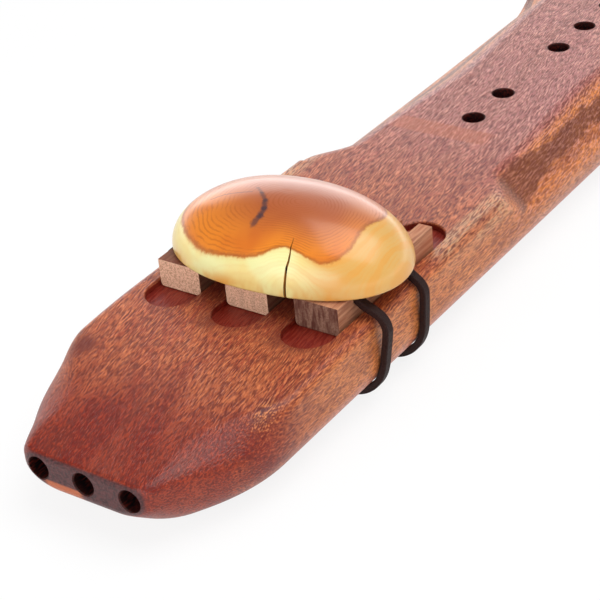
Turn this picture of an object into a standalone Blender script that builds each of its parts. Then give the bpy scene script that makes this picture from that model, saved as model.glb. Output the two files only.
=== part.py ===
"""Triple flute with three side-by-side pipes, three blocks, a domed wood-slice cap and a leather lace.

X runs across the pipes, Y from the mouth end to the foot and Z up. The floor is at Z = 0, under the
two strands of lace that pass beneath the body, and the middle of the flute's length is at Y = 0.
"""
import math

import bmesh
import bpy
from mathutils import Matrix, Vector

# Body, two boards glued face to face
BODY_LENGTH = 0.408
BODY_WIDTH = 0.0903
TOP_BOARD = 0.015
BOTTOM_BOARD = 0.015
TOP_EDGE_RADIUS = 0.0037
BOTTOM_ROUND_WIDTH = 0.01425
UNDER_ROUND_SHARE = 1.75
END_EDGE_RADIUS = 0.0008

# Mouth end
MOUTH_WIDTH = 0.0496
MOUTH_ABOVE_GLUE = 0.0055
MOUTH_BELOW_GLUE = 0.0068
MOUTH_CORNER = 0.0035
MOUTH_LIP = 0.0020
SHOULDER_LENGTH = 0.0346
SHOULDER_BLEND = 0.0021
SHOULDER_LEAN = 0.012
SHOULDER_LEAN_LENGTH = 0.0558
SLOPE_LENGTH = 0.045
SLOPE_BLEND = 0.0022
UNDER_SLOPE_LENGTH = 0.012
UNDER_SLOPE_BLEND = 0.0010
TAPER_RUN_OUT = 0.017
SIDE_ROUND_LIMIT = 0.6
EDGE_ROUND_LIMIT = 0.8

# Hand hollows along both upper edges
HOLLOW_START = 0.1858
HOLLOW_RUN = 0.0252
HOLLOW_FOOT_MARGIN = 0.024
HOLLOW_WIDTH = 0.0175
HOLLOW_SPREAD = 0.0065
HOLLOW_SPREAD_RUN = 0.090
HOLLOW_RIM_LEFT = 0.196
HOLLOW_DISH = 0.035
CORNER_REST = 1.86

# Three pipes
PIPES = 3
PIPE_PITCH = 0.0285
BORE_DIAMETER = 0.017
BREATH_PITCH = 0.01846
BREATH_DIAMETER = 0.0080
BREATH_LENGTH = 0.014
AIRWAY_FLARE = 0.022
AIRWAY_SHIFT = 0.050

# Windway from the slow air chamber to the sound hole
FLUE_WIDTH = 0.0068
FLUE_DEPTH = 0.0009
FLUE_LENGTH = 0.024
EXIT_HOLE_LENGTH = 0.008
SOUND_HOLE_LENGTH = 0.0048
EDGE_DROP = 0.0005
EDGE_RAMP = 0.006

# Finger holes in the middle pipe, as steps of the spacing; the third place has no hole
FINGER_HOLE_PLACES = (0, 1, 3, 4, 5)
FINGER_HOLE_DIAMETER = 0.0087
FINGER_HOLE_SPACING = 0.0241
FIRST_HOLE_FROM_SOUND_HOLE = 0.1006

# Blocks and the nests that hold them
BLOCK_LENGTH = 0.0605
BLOCK_WIDTH = 0.0174
BLOCK_HEIGHT = 0.0106
BLOCK_FRONT = 0.0905
BLOCK_EDGE = 0.0008
BLOCK_TOP_EDGE = 0.0004
CHIMNEY_DEPTH = 0.0065
NEST_DEPTH = 0.0027
NEST_SIDE_CLEARANCE = 0.0006
NEST_FREE_FRONT = 0.0145
NEST_FREE_BACK = 0.0145

# Domed cap cut from a slice of branch
CAP_WIDTH = 0.0895
CAP_DEPTH = 0.0616
CAP_HEIGHT = 0.0236
CAP_RIM = 0.0012
CAP_FROM_BLOCK_FRONT = 0.0249
CAP_TO_RIGHT = 0.0028
CAP_WAVES = ((2, 0.030, -0.57), (3, 0.012, 0.96), (4, 0.015, 2.74))
CRACK_TO_RIGHT = 0.0142
CRACK_FROM_MIDDLE = 0.0174
CRACK_WIDTH = 0.0009

# Square-cut leather lace, doubled round the flute and tied on the left side
LACE_WIDTH = 0.0034
LACE_THICKNESS = 0.0025
LACE_FROM_BLOCK_FRONT = 0.0115
LACE_SPACING = 0.0256
LACE_EDGE_EASE = 0.0010
BIGHT_RADIUS = 0.0025
KNOT_WIDTH = 0.0105
KNOT_HEIGHT = 0.0085
KNOT_DEPTH = 0.0066
KNOT_RIDGE = 0.10
TAIL_SHAPE = ((0.0, 0.15, 0.05), (-0.25, 0.45, -0.25), (-0.28, 0.68, -0.6),
              (-0.18, 0.93, -1.0), (-0.1, 1.08, -1.35), (-0.05, 1.17, -1.7))
TAIL_SPREAD = 0.0050
UNDER_DRAW = 0.045

# Clearances
SEAT_GAP = 0.0003
CUT_PAST = 0.001

# Facets
ROUND_STEPS = 24
HOLE_STEPS = 20
CORNER_STEPS = 12
LIP_STEPS = (0.0, 0.12, 0.4, 1.0)
TAPER_STEPS = 20
HOLLOW_STEPS = 9
SPREAD_STEPS = 4
AIRWAY_STEPS = 8
CAP_STEPS = 48
CAP_RINGS = 10
LACE_STEP = 0.008
LACE_SIDES = 8
UNDER_STEPS = 7
BIGHT_STEPS = 6
KNOT_RINGS = 9
ARC_STEP = math.radians(24)
BODY_CREASE = math.radians(30)
CAP_CREASE = math.radians(40)
LACE_CREASE = math.radians(60)

# Heights and stations worked out from the sizes above
BODY_BOTTOM = LACE_THICKNESS + SEAT_GAP
GLUE_Z = BODY_BOTTOM + BOTTOM_BOARD
BODY_TOP = GLUE_Z + TOP_BOARD
HALF_WIDTH = BODY_WIDTH / 2
MOUTH_Y = -BODY_LENGTH / 2
FOOT_Y = BODY_LENGTH / 2
NEST_FLOOR = BODY_TOP - NEST_DEPTH
NEST_WIDTH = BLOCK_WIDTH + 2 * NEST_SIDE_CLEARANCE
BLOCK_Y = MOUTH_Y + BLOCK_FRONT
BLOCK_BACK_Y = BLOCK_Y + BLOCK_LENGTH
BLOCK_MIDDLE_Y = (BLOCK_Y + BLOCK_BACK_Y) / 2
BLOCK_BOTTOM = NEST_FLOOR + SEAT_GAP
BLOCK_TOP = BLOCK_BOTTOM + BLOCK_HEIGHT
SOUND_HOLE_Y = BLOCK_BACK_Y - CHIMNEY_DEPTH
SOUND_HOLE_BACK_Y = SOUND_HOLE_Y + SOUND_HOLE_LENGTH
FLUE_Y = SOUND_HOLE_Y - FLUE_LENGTH
GROOVE_WIDTH = LACE_WIDTH + 2 * SEAT_GAP
GROOVE_FLOOR = BLOCK_TOP - LACE_THICKNESS - 2 * SEAT_GAP
LACE_OFFSET = LACE_THICKNESS / 2 + SEAT_GAP
LACE_FRONT_Y = BLOCK_Y + LACE_FROM_BLOCK_FRONT
LACE_REAR_Y = LACE_FRONT_Y + LACE_SPACING
KNOT_X = -HALF_WIDTH - SEAT_GAP - KNOT_DEPTH / 2
KNOT_Y = (LACE_FRONT_Y + LACE_REAR_Y) / 2
KNOT_Z = BODY_TOP - TOP_EDGE_RADIUS - SEAT_GAP - KNOT_HEIGHT / 2
KNOT_TOP = KNOT_Z + KNOT_HEIGHT / 2 + SEAT_GAP
BIGHT_Z = KNOT_Z - KNOT_HEIGHT / 2 - SEAT_GAP - LACE_WIDTH / 2 - BIGHT_RADIUS
PIPE_SIDES = [index - (PIPES - 1) / 2 for index in range(PIPES)]


def clear_scene():
    for item in list(bpy.data.objects):
        bpy.data.objects.remove(item, do_unlink=True)


def make_material(name, colour, roughness):
    material = bpy.data.materials.new(name)
    material.use_nodes = True
    shader = material.node_tree.nodes["Principled BSDF"]
    shader.inputs["Base Color"].default_value = (*colour, 1.0)
    shader.inputs["Roughness"].default_value = roughness
    shader.inputs["Metallic"].default_value = 0.0
    return material


def smooth_step(value):
    value = min(max(value, 0.0), 1.0)
    return value * value * (3 - 2 * value)


def soft_min(first, second, blend):
    """The smaller of two values, with the corner between them rounded over by blend."""
    overlap = max(blend * 4 - abs(first - second), 0.0) / (blend * 4)
    return min(first, second) - overlap * overlap * blend


def mesh_object(name, vertices, faces, material=None, smooth_angle=None):
    mesh = bpy.data.meshes.new(name)
    mesh.from_pydata(vertices, [], faces)
    shell = bmesh.new()
    shell.from_mesh(mesh)
    bmesh.ops.recalc_face_normals(shell, faces=shell.faces)
    shell.to_mesh(mesh)
    shell.free()
    if smooth_angle:
        mesh.shade_smooth()
        mesh.set_sharp_from_angle(angle=smooth_angle)
    item = bpy.data.objects.new(name, mesh)
    bpy.context.collection.objects.link(item)
    if material:
        mesh.materials.append(material)
    return item


def loft(name, rings, material=None, smooth_angle=None):
    """A closed skin through rings that all have the same number of points."""
    count = len(rings[0])
    vertices = [point for ring in rings for point in ring]
    faces = []
    for row in range(len(rings) - 1):
        for column in range(count):
            after = (column + 1) % count
            faces.append((row * count + column, row * count + after,
                          (row + 1) * count + after, (row + 1) * count + column))
    last = (len(rings) - 1) * count
    faces.append(tuple(range(count)))
    faces.append(tuple(last + column for column in range(count)))
    return mesh_object(name, vertices, faces, material, smooth_angle)


def prism(name, outline, low, high, place):
    """An outline of pairs run from low to high; place turns (first, second, run) into a point."""
    rings = [[place(first, second, run) for first, second in outline] for run in (low, high)]
    return loft(name, rings)


def upright(across, along, height):
    return (across, along, height)


def sideways(along, height, across):
    return (across, along, height)


def lengthways(across, height, along):
    return (across, along, height)


def rectangle(left, right, low, high):
    return [(left, low), (right, low), (right, high), (left, high)]


def circle(centre_first, centre_second, radius, steps):
    """A circle whose facets, not its corners, face along the two axes."""
    turn = math.tau / steps
    return [(centre_first + radius * math.cos((step + 0.5) * turn),
             centre_second + radius * math.sin((step + 0.5) * turn)) for step in range(steps)]


def as_cutter(item):
    item.hide_render = True
    item.display_type = 'WIRE'
    return item


def cut(target, cutter, operation='DIFFERENCE'):
    modifier = target.modifiers.new(cutter.name, 'BOOLEAN')
    modifier.operation = operation
    modifier.solver = 'EXACT'
    modifier.object = as_cutter(cutter)


def end_inset(distance, radius):
    """How far a rounded end draws its outline in, at a distance from the end face."""
    if distance >= radius:
        return 0.0
    return radius - math.sqrt(radius * radius - (radius - distance) ** 2)


def body_half_width(distance):
    mouth = MOUTH_WIDTH / 2
    taper = mouth + (HALF_WIDTH - mouth) * distance / SHOULDER_LENGTH
    width = soft_min(taper, HALF_WIDTH, SHOULDER_BLEND)
    width -= end_inset(distance, MOUTH_CORNER)
    return width - end_inset(BODY_LENGTH - distance, END_EDGE_RADIUS)


def board_reach(distance, board, mouth, length, blend):
    """How far the outer face of a board lies from the glue line."""
    slope = mouth + (board - mouth) * distance / length
    reach = soft_min(slope, board, blend)
    reach -= end_inset(distance, MOUTH_LIP)
    return reach - end_inset(BODY_LENGTH - distance, END_EDGE_RADIUS)


def hollow_depth(distance):
    """0 where the upper edge is whole and 1 where the hand hollow has its full depth."""
    entry = (distance - HOLLOW_START) / HOLLOW_RUN
    leave = (BODY_LENGTH - HOLLOW_FOOT_MARGIN - distance) / HOLLOW_RUN
    return smooth_step(entry) * smooth_step(leave)


def hollow_width(distance):
    """How far the hand hollow reaches in from the side; it is widest half way along."""
    entry = (distance - HOLLOW_START - HOLLOW_RUN) / HOLLOW_SPREAD_RUN
    leave = (BODY_LENGTH - HOLLOW_FOOT_MARGIN - HOLLOW_RUN - distance) / HOLLOW_SPREAD_RUN
    return HOLLOW_WIDTH + HOLLOW_SPREAD * smooth_step(entry) * smooth_step(leave)


def shoulder_lean(distance):
    """How far the sides of the mouth end lean in at the top."""
    share = min(distance / SHOULDER_LEAN_LENGTH, 1.0)
    return SHOULDER_LEAN * math.sin(math.pi * share) ** 2


def corner_reach(angle, across, up, radius):
    """Distance from a pole to a rounded corner that lies across and up from it."""
    aim_x, aim_z = math.sin(angle), math.cos(angle)
    centre_x, centre_z = across - radius, up - radius
    if aim_x * up <= aim_z * centre_x:
        return up / aim_z
    if aim_z * across <= aim_x * centre_z:
        return across / aim_x
    along = aim_x * centre_x + aim_z * centre_z
    return along + math.sqrt(max(along ** 2 - centre_x ** 2 - centre_z ** 2 + radius ** 2, 0.0))


def body_ring(distance):
    """One cross-section of the whole body, round from the middle of its top."""
    half = body_half_width(distance)
    up = board_reach(distance, TOP_BOARD, MOUTH_ABOVE_GLUE, SLOPE_LENGTH, SLOPE_BLEND)
    down = board_reach(distance, BOTTOM_BOARD, MOUTH_BELOW_GLUE, UNDER_SLOPE_LENGTH, UNDER_SLOPE_BLEND)
    depth = hollow_depth(distance)
    lean = shoulder_lean(distance)
    across = min(hollow_width(distance), SIDE_ROUND_LIMIT * half)
    under = min(BOTTOM_ROUND_WIDTH, UNDER_ROUND_SHARE * down, SIDE_ROUND_LIMIT * half)
    radius = min(TOP_EDGE_RADIUS, EDGE_ROUND_LIMIT * up)
    edge = []
    for step in range(CORNER_STEPS + 1):
        angle = math.pi / 2 * step / CORNER_STEPS
        reach = corner_reach(angle, across, up, radius)
        lift = 1 + HOLLOW_RIM_LEFT * depth + (CORNER_REST - 1) * (1 - depth)
        lift -= HOLLOW_DISH * depth * math.sin(2 * angle)
        chord = lift / (math.sin(angle) / across + math.cos(angle) / up)
        reach = soft_min(reach, chord, END_EDGE_RADIUS) if depth > 0 else reach
        rise = reach * math.cos(angle)
        edge.append((half - across + reach * math.sin(angle) - lean * (rise / up) ** 2, GLUE_Z + rise))
    for step in range(1, CORNER_STEPS + 1):
        angle = math.pi / 2 * step / CORNER_STEPS
        edge.append((half - under + under * math.cos(angle), GLUE_Z - down * math.sin(angle)))
    right = [(0.0, GLUE_Z + up)] + edge
    left = [(0.0, GLUE_Z - down)] + [(-x, z) for x, z in reversed(edge)]
    return [(x, MOUTH_Y + distance, z) for x, z in right + left]


def body_stations():
    """Where the body's cross-sections lie: close together only where its shape changes."""
    stations = [MOUTH_LIP * part for part in LIP_STEPS]
    stations.append(MOUTH_CORNER)
    taper = max(SHOULDER_LENGTH, SLOPE_LENGTH) + TAPER_RUN_OUT - MOUTH_CORNER
    stations += [MOUTH_CORNER + taper * step / TAPER_STEPS for step in range(1, TAPER_STEPS + 1)]
    run = [HOLLOW_RUN * step / HOLLOW_STEPS for step in range(HOLLOW_STEPS + 1)]
    spread = [HOLLOW_RUN + HOLLOW_SPREAD_RUN * step / SPREAD_STEPS for step in range(1, SPREAD_STEPS)]
    stations += [HOLLOW_START + part for part in run + spread]
    stations += [BODY_LENGTH - HOLLOW_FOOT_MARGIN - part for part in run + spread]
    stations += [BODY_LENGTH - END_EDGE_RADIUS * part for part in (1.0, 0.3, 0.0)]
    return sorted(set(stations))


def pipe_ring(centre, y, radius):
    return [(x, y, z) for x, z in circle(centre, GLUE_Z, radius, ROUND_STEPS)]


def airway_cutter(side):
    """Breath hole that widens into the slow air chamber and swings out to its pipe."""
    swing = max(AIRWAY_FLARE, AIRWAY_SHIFT)
    stations = [-CUT_PAST]
    stations += [BREATH_LENGTH + swing * step / AIRWAY_STEPS for step in range(AIRWAY_STEPS + 1)]
    stations.append(FLUE_Y - MOUTH_Y)
    rings = []
    for distance in stations:
        flare = smooth_step((distance - BREATH_LENGTH) / AIRWAY_FLARE)
        shift = smooth_step((distance - BREATH_LENGTH) / AIRWAY_SHIFT)
        radius = (BREATH_DIAMETER + (BORE_DIAMETER - BREATH_DIAMETER) * flare) / 2
        centre = side * (BREATH_PITCH + (PIPE_PITCH - BREATH_PITCH) * shift)
        rings.append(pipe_ring(centre, MOUTH_Y + distance, radius))
    return loft("airway_cutter", rings)


def bore_cutter(side):
    rings = [pipe_ring(side * PIPE_PITCH, y, BORE_DIAMETER / 2)
             for y in (SOUND_HOLE_Y, FOOT_Y + CUT_PAST)]
    return loft("bore_cutter", rings)


def nest_cutter(side):
    """Round-ended recess that a block stands in."""
    radius = NEST_WIDTH / 2
    front = BLOCK_Y - NEST_FREE_FRONT + radius
    back = BLOCK_BACK_Y + NEST_FREE_BACK - radius
    steps = ROUND_STEPS // 2
    turns = [math.pi * step / steps for step in range(steps + 1)]
    outline = [(side * PIPE_PITCH + radius * math.cos(turn), back + radius * math.sin(turn))
               for turn in turns]
    outline += [(side * PIPE_PITCH - radius * math.cos(turn), front - radius * math.sin(turn))
                for turn in turns]
    return prism("nest_cutter", outline, NEST_FLOOR, BODY_TOP + CUT_PAST, upright)


def windway_cutters(side):
    """Exit hole, flue, sound hole and the ramp of the splitting edge."""
    middle = side * PIPE_PITCH
    left, right = middle - FLUE_WIDTH / 2, middle + FLUE_WIDTH / 2
    exit_hole = rectangle(left, right, FLUE_Y - EXIT_HOLE_LENGTH, FLUE_Y)
    yield prism("exit_hole_cutter", exit_hole, GLUE_Z + CUT_PAST, NEST_FLOOR + CUT_PAST, upright)
    sound_hole = rectangle(left, right, SOUND_HOLE_Y, SOUND_HOLE_BACK_Y)
    yield prism("sound_hole_cutter", sound_hole, GLUE_Z + CUT_PAST, NEST_FLOOR + CUT_PAST, upright)
    flue = rectangle(left, right, FLUE_Y - EXIT_HOLE_LENGTH / 2,
                     SOUND_HOLE_Y + SOUND_HOLE_LENGTH / 2)
    yield prism("flue_cutter", flue, NEST_FLOOR - FLUE_DEPTH, NEST_FLOOR + CUT_PAST, upright)
    ramp = [(SOUND_HOLE_BACK_Y - SOUND_HOLE_LENGTH / 2, NEST_FLOOR - EDGE_DROP),
            (SOUND_HOLE_BACK_Y, NEST_FLOOR - EDGE_DROP),
            (SOUND_HOLE_BACK_Y + EDGE_RAMP, NEST_FLOOR),
            (SOUND_HOLE_BACK_Y + EDGE_RAMP, NEST_FLOOR + CUT_PAST),
            (SOUND_HOLE_BACK_Y - SOUND_HOLE_LENGTH / 2, NEST_FLOOR + CUT_PAST)]
    yield prism("edge_ramp_cutter", ramp, left, right, sideways)


def finger_hole_cutters():
    for place in FINGER_HOLE_PLACES:
        y = SOUND_HOLE_Y + FIRST_HOLE_FROM_SOUND_HOLE + place * FINGER_HOLE_SPACING
        outline = circle(0.0, y, FINGER_HOLE_DIAMETER / 2, HOLE_STEPS)
        yield prism("finger_hole_cutter", outline, GLUE_Z + CUT_PAST, BODY_TOP + CUT_PAST, upright)


def half_space(name, low, high):
    """A block that takes away one of the two boards."""
    outline = rectangle(-BODY_WIDTH, BODY_WIDTH, MOUTH_Y - HALF_WIDTH, FOOT_Y + HALF_WIDTH)
    return prism(name, outline, low, high, upright)


def make_body(material):
    rings = [body_ring(distance) for distance in body_stations()]
    top = loft("body_top_board", rings, material, BODY_CREASE)
    bottom = loft("body_bottom_board", rings, material, BODY_CREASE)
    cut(top, half_space("below_glue_cutter", BODY_BOTTOM - BODY_WIDTH, GLUE_Z))
    cut(bottom, half_space("above_glue_cutter", GLUE_Z, BODY_TOP + BODY_WIDTH))
    for side in PIPE_SIDES:
        for cutter in (airway_cutter(side), bore_cutter(side)):
            cut(top, cutter)
            cut(bottom, cutter)
        cut(top, nest_cutter(side))
        for cutter in windway_cutters(side):
            cut(top, cutter)
    for cutter in finger_hole_cutters():
        cut(top, cutter)


def block_outline():
    """Plan of a block, with the chimney notch in the end that faces the foot."""
    half, notch = BLOCK_WIDTH / 2, FLUE_WIDTH / 2
    inner = BLOCK_BACK_Y - CHIMNEY_DEPTH
    return [(-half, BLOCK_Y), (half, BLOCK_Y), (half, BLOCK_BACK_Y), (notch, BLOCK_BACK_Y),
            (notch, inner), (-notch, inner), (-notch, BLOCK_BACK_Y), (-half, BLOCK_BACK_Y)]


def block_mesh(material):
    """A block with eased corners, standing over the middle pipe."""
    shape = prism("block_shape", block_outline(), BLOCK_BOTTOM, BLOCK_TOP, upright)
    shell = bmesh.new()
    shell.from_mesh(shape.data)
    half = BLOCK_WIDTH / 2

    def is_outer(vertex):
        return abs(abs(vertex.co.x) - half) < SEAT_GAP / 10

    posts = [edge for edge in shell.edges
             if abs(edge.verts[0].co.z - edge.verts[1].co.z) > SEAT_GAP and is_outer(edge.verts[0])]
    bmesh.ops.bevel(shell, geom=posts, offset=BLOCK_EDGE, segments=2, affect='EDGES', profile=0.5)
    rims = [edge for edge in shell.edges
            if abs(edge.verts[0].co.z - edge.verts[1].co.z) < SEAT_GAP / 10]
    bmesh.ops.bevel(shell, geom=rims, offset=BLOCK_TOP_EDGE, segments=1, affect='EDGES')
    mesh = bpy.data.meshes.new("block")
    shell.to_mesh(mesh)
    shell.free()
    bpy.data.objects.remove(shape)
    mesh.materials.append(material)
    return mesh


def groove_outline(side):
    """Cross groove for the lace, in the plane across the flute, with its ends eased downwards."""
    middle = side * PIPE_PITCH
    half, ease = BLOCK_WIDTH / 2, LACE_EDGE_EASE
    fall = ease * (1 - math.sqrt(0.5))
    right = [(middle + half - ease, GROOVE_FLOOR),
             (middle + half - ease + ease * math.sqrt(0.5), GROOVE_FLOOR - fall),
             (middle + half, GROOVE_FLOOR - ease),
             (middle + half + ease, GROOVE_FLOOR - ease),
             (middle + half + ease, BLOCK_TOP + CUT_PAST)]
    left = [(2 * middle - x, z) for x, z in reversed(right)]
    return right + left


def make_blocks(material):
    mesh = block_mesh(material)
    blocks = []
    for name, side in zip(("block_left", "block_middle", "block_right"), PIPE_SIDES):
        block = bpy.data.objects.new(name, mesh)
        bpy.context.collection.objects.link(block)
        block.location.x = side * PIPE_PITCH
        blocks.append(block)
        for y in (LACE_FRONT_Y, LACE_REAR_Y):
            cut(block, prism("lace_groove_cutter", groove_outline(side),
                             y - GROOVE_WIDTH / 2, y + GROOVE_WIDTH / 2, lengthways))
    return blocks


def cap_outline(angle):
    """Reach of the branch slice from its middle, as a share of a plain oval."""
    return 1 + sum(share * math.cos(waves * angle + start) for waves, share, start in CAP_WAVES)


def make_cap(material):
    centre_y = BLOCK_Y + CAP_FROM_BLOCK_FRONT
    base = BLOCK_TOP + SEAT_GAP
    rings = []

    def ring(share, height, inset=0.0):
        points = []
        for step in range(CAP_STEPS):
            angle = math.tau * step / CAP_STEPS
            reach = cap_outline(angle) * share
            points.append((CAP_TO_RIGHT + (CAP_WIDTH / 2 * reach - inset) * math.cos(angle),
                           centre_y + (CAP_DEPTH / 2 * reach - inset) * math.sin(angle), height))
        return points

    for turn in (math.pi / 2, math.pi / 4):
        rings.append(ring(1.0, base + CAP_RIM * (1 - math.sin(turn)), CAP_RIM * (1 - math.cos(turn))))
    for step in range(CAP_RINGS):
        angle = math.pi / 2 * step / CAP_RINGS
        height = base + CAP_RIM + (CAP_HEIGHT - CAP_RIM) * math.sin(angle)
        rings.append(ring(math.cos(angle), height))
    cap = loft("slice_cap", rings, material, CAP_CREASE)
    crack_x = CAP_TO_RIGHT + CRACK_TO_RIGHT
    inner, outer = centre_y - CRACK_FROM_MIDDLE, centre_y - CAP_DEPTH / 2
    wedge = [(crack_x, inner), (crack_x - CRACK_WIDTH, 2 * outer - inner),
             (crack_x + CRACK_WIDTH, 2 * outer - inner)]
    cut(cap, prism("crack_cutter", wedge, base - CUT_PAST, base + CAP_HEIGHT, upright))
    return cap


def arc(centre, reach, start, end):
    """Points and outward directions round a corner: (across, height, outward x, outward z)."""
    steps = max(2, math.ceil(abs(start - end) / ARC_STEP))
    items = []
    for step in range(steps + 1):
        turn = start + (end - start) * step / steps
        x, z = math.cos(turn), math.sin(turn)
        items.append((centre[0] + reach * x, centre[1] + reach * z, x, z))
    return items


def tangent_turn(first, first_reach, second, second_reach):
    """Direction from two corners' centres to where a taut lace leaves one for the other."""
    gap = Vector(second) - Vector(first)
    lean = math.asin((first_reach - second_reach) / gap.length)
    return math.atan2(gap.y, gap.x) + math.pi / 2 - lean


def turn_profile():
    """Half a turn of the lace in the plane across the flute, from the top round to the underside."""
    ledge = (PIPE_SIDES[-1] * PIPE_PITCH + BLOCK_WIDTH / 2 - LACE_EDGE_EASE,
             GROOVE_FLOOR - LACE_EDGE_EASE)
    shoulder = (HALF_WIDTH - TOP_EDGE_RADIUS, BODY_TOP - TOP_EDGE_RADIUS)
    leave = tangent_turn(ledge, LACE_EDGE_EASE + LACE_OFFSET, shoulder, TOP_EDGE_RADIUS + LACE_OFFSET)
    items = arc(ledge, LACE_EDGE_EASE + LACE_OFFSET, math.pi / 2, leave)
    items += arc(shoulder, TOP_EDGE_RADIUS + LACE_OFFSET, leave, 0.0)
    wide, tall = BOTTOM_ROUND_WIDTH + LACE_OFFSET, BOTTOM_BOARD + LACE_OFFSET
    for step in range(UNDER_STEPS + 1):
        angle = math.pi / 2 * step / UNDER_STEPS
        outward = Vector((math.cos(angle) / wide, -math.sin(angle) / tall)).normalized()
        items.append((HALF_WIDTH - BOTTOM_ROUND_WIDTH + wide * math.cos(angle),
                      GLUE_Z - tall * math.sin(angle), outward.x, outward.y))
    return items


def side_point(z):
    """Where the lace lies on the left side of the body at a height, as a turn_profile item."""
    if z >= GLUE_Z:
        return (-HALF_WIDTH - LACE_OFFSET, z, -1.0, 0.0)
    wide, tall = BOTTOM_ROUND_WIDTH + LACE_OFFSET, BOTTOM_BOARD + LACE_OFFSET
    sine = (GLUE_Z - z) / tall
    cosine = math.sqrt(1 - sine * sine)
    outward = Vector((-cosine / wide, -sine / tall)).normalized()
    return (-HALF_WIDTH + BOTTOM_ROUND_WIDTH - wide * cosine, z, outward.x, outward.y)


def fill_in(items, step):
    """Adds points on the long straight runs."""
    full = [items[0]]
    for first, second in zip(items, items[1:]):
        pieces = max(1, math.ceil(math.dist(first[:2], second[:2]) / step))
        for piece in range(1, pieces + 1):
            share = piece / pieces
            full.append(tuple(a + (b - a) * share for a, b in zip(first, second)))
    return full


def lace_strand(side):
    """One turn, from the knot over the blocks and under the body back to the bight.

    side is -1 for the strand nearer the mouth. Items are (point, outward direction).
    """
    right = turn_profile()
    left = [(-x, z, -out_x, out_z) for x, z, out_x, out_z in reversed(right)]
    rise = [side_point(KNOT_TOP)] + [item for item in left if item[1] > KNOT_TOP]
    fall = [item for item in left if item[1] < BIGHT_Z and item[0] < 0] + [side_point(BIGHT_Z)]
    items = fill_in(rise + right + fall, LACE_STEP)
    lengths = [0.0]
    for first, second in zip(items, items[1:]):
        lengths.append(lengths[-1] + math.dist(first[:2], second[:2]))
    block_side = PIPE_SIDES[0] * PIPE_PITCH - BLOCK_WIDTH / 2
    ledge = next(length for item, length in zip(items, lengths)
                 if item[0] > block_side - LACE_WIDTH / 2)
    strand = []
    for (x, z, out_x, out_z), length in zip(items, lengths):
        spread = LACE_SPACING / 2
        spread -= (LACE_SPACING / 2 - BIGHT_RADIUS) * (1 - smooth_step(length / ledge))
        near_end = 1 - (lengths[-1] - length) / UNDER_DRAW
        spread -= (LACE_SPACING / 2 - BIGHT_RADIUS) * smooth_step(near_end)
        strand.append((Vector((x, KNOT_Y + side * spread, z)), Vector((out_x, 0.0, out_z))))
    return strand


def lace_route():
    """The whole lace: over and round, a tight turn back at the bight, and round again."""
    front, rear = lace_strand(-1), lace_strand(1)
    bight = []
    for step in range(1, BIGHT_STEPS):
        angle = math.pi * step / BIGHT_STEPS
        x, z, out_x, out_z = side_point(BIGHT_Z + BIGHT_RADIUS * math.sin(angle))
        y = KNOT_Y - BIGHT_RADIUS * math.cos(angle)
        bight.append((Vector((x, y, z)), Vector((out_x, 0.0, out_z))))
    return front + bight + list(reversed(rear))


def sweep(name, route, material=None):
    """A lace along (point, outward direction) items, with a flat facing outward all the way."""
    corner = 1 / (2 * math.cos(math.pi / LACE_SIDES))
    rings = []
    for index, (point, outward) in enumerate(route):
        before = route[max(index - 1, 0)][0]
        after = route[min(index + 1, len(route) - 1)][0]
        ahead = (after - before).normalized()
        out = (outward - ahead * outward.dot(ahead)).normalized()
        beside = ahead.cross(out) * LACE_WIDTH * corner
        out *= LACE_THICKNESS * corner
        ring = []
        for side in range(LACE_SIDES):
            turn = math.tau * (side + 0.5) / LACE_SIDES
            ring.append(tuple(point + out * math.cos(turn) + beside * math.sin(turn)))
        rings.append(ring)
    return loft(name, rings, material, LACE_CREASE)


def least_gap(route):
    """Smallest space between stretches of the lace that lie apart along its length."""
    lengths = [0.0]
    for (first, _), (second, _) in zip(route, route[1:]):
        lengths.append(lengths[-1] + (second - first).length)
    apart = math.pi * BIGHT_RADIUS
    return min((a[0] - b[0]).length - LACE_WIDTH
               for index, a in enumerate(route) for other, b in enumerate(route[:index])
               if lengths[index] - lengths[other] > apart)


def tail_route(side):
    """A loose end, from inside the knot out and down beside the body."""
    return [(Vector((KNOT_X + out * KNOT_DEPTH, KNOT_Y + side * along * TAIL_SPREAD,
                     KNOT_Z + up * KNOT_HEIGHT)), Vector((-1.0, 0.0, 0.0)))
            for out, along, up in TAIL_SHAPE]


def make_lace(material):
    route = lace_route()
    lace = sweep("lace", route, material)
    print(f"least gap of the lace to itself: {least_gap(route) * 1000:.2f} mm")
    rings = []
    for row in range(1, KNOT_RINGS):
        tilt = math.pi * row / KNOT_RINGS
        ring = []
        for step in range(ROUND_STEPS):
            turn = math.tau * step / ROUND_STEPS
            ridge = 1 + KNOT_RIDGE * math.cos(2 * turn + 2 * tilt)
            ring.append((KNOT_X + KNOT_DEPTH / 2 * math.sin(tilt) * math.cos(turn),
                         KNOT_Y + KNOT_WIDTH / 2 * math.sin(tilt) * math.sin(turn) * ridge,
                         KNOT_Z + KNOT_HEIGHT / 2 * math.cos(tilt)))
        rings.append(ring)
    knot = loft("lace_knot", rings, material, LACE_CREASE)
    for side in (-1, 1):
        cut(knot, sweep("tail_union", tail_route(side)), 'UNION')
    return [lace, knot]


def join_to_slide(pieces):
    """Hangs what slides in the nests on an empty on the slide's axis, along the middle pipe."""
    slide = bpy.data.objects.new("block_slide", None)
    bpy.context.collection.objects.link(slide)
    slide.location = (0.0, BLOCK_MIDDLE_Y, NEST_FLOOR)
    for piece in pieces:
        piece.parent = slide
        piece.matrix_parent_inverse = Matrix.Translation(-slide.location)


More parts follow.
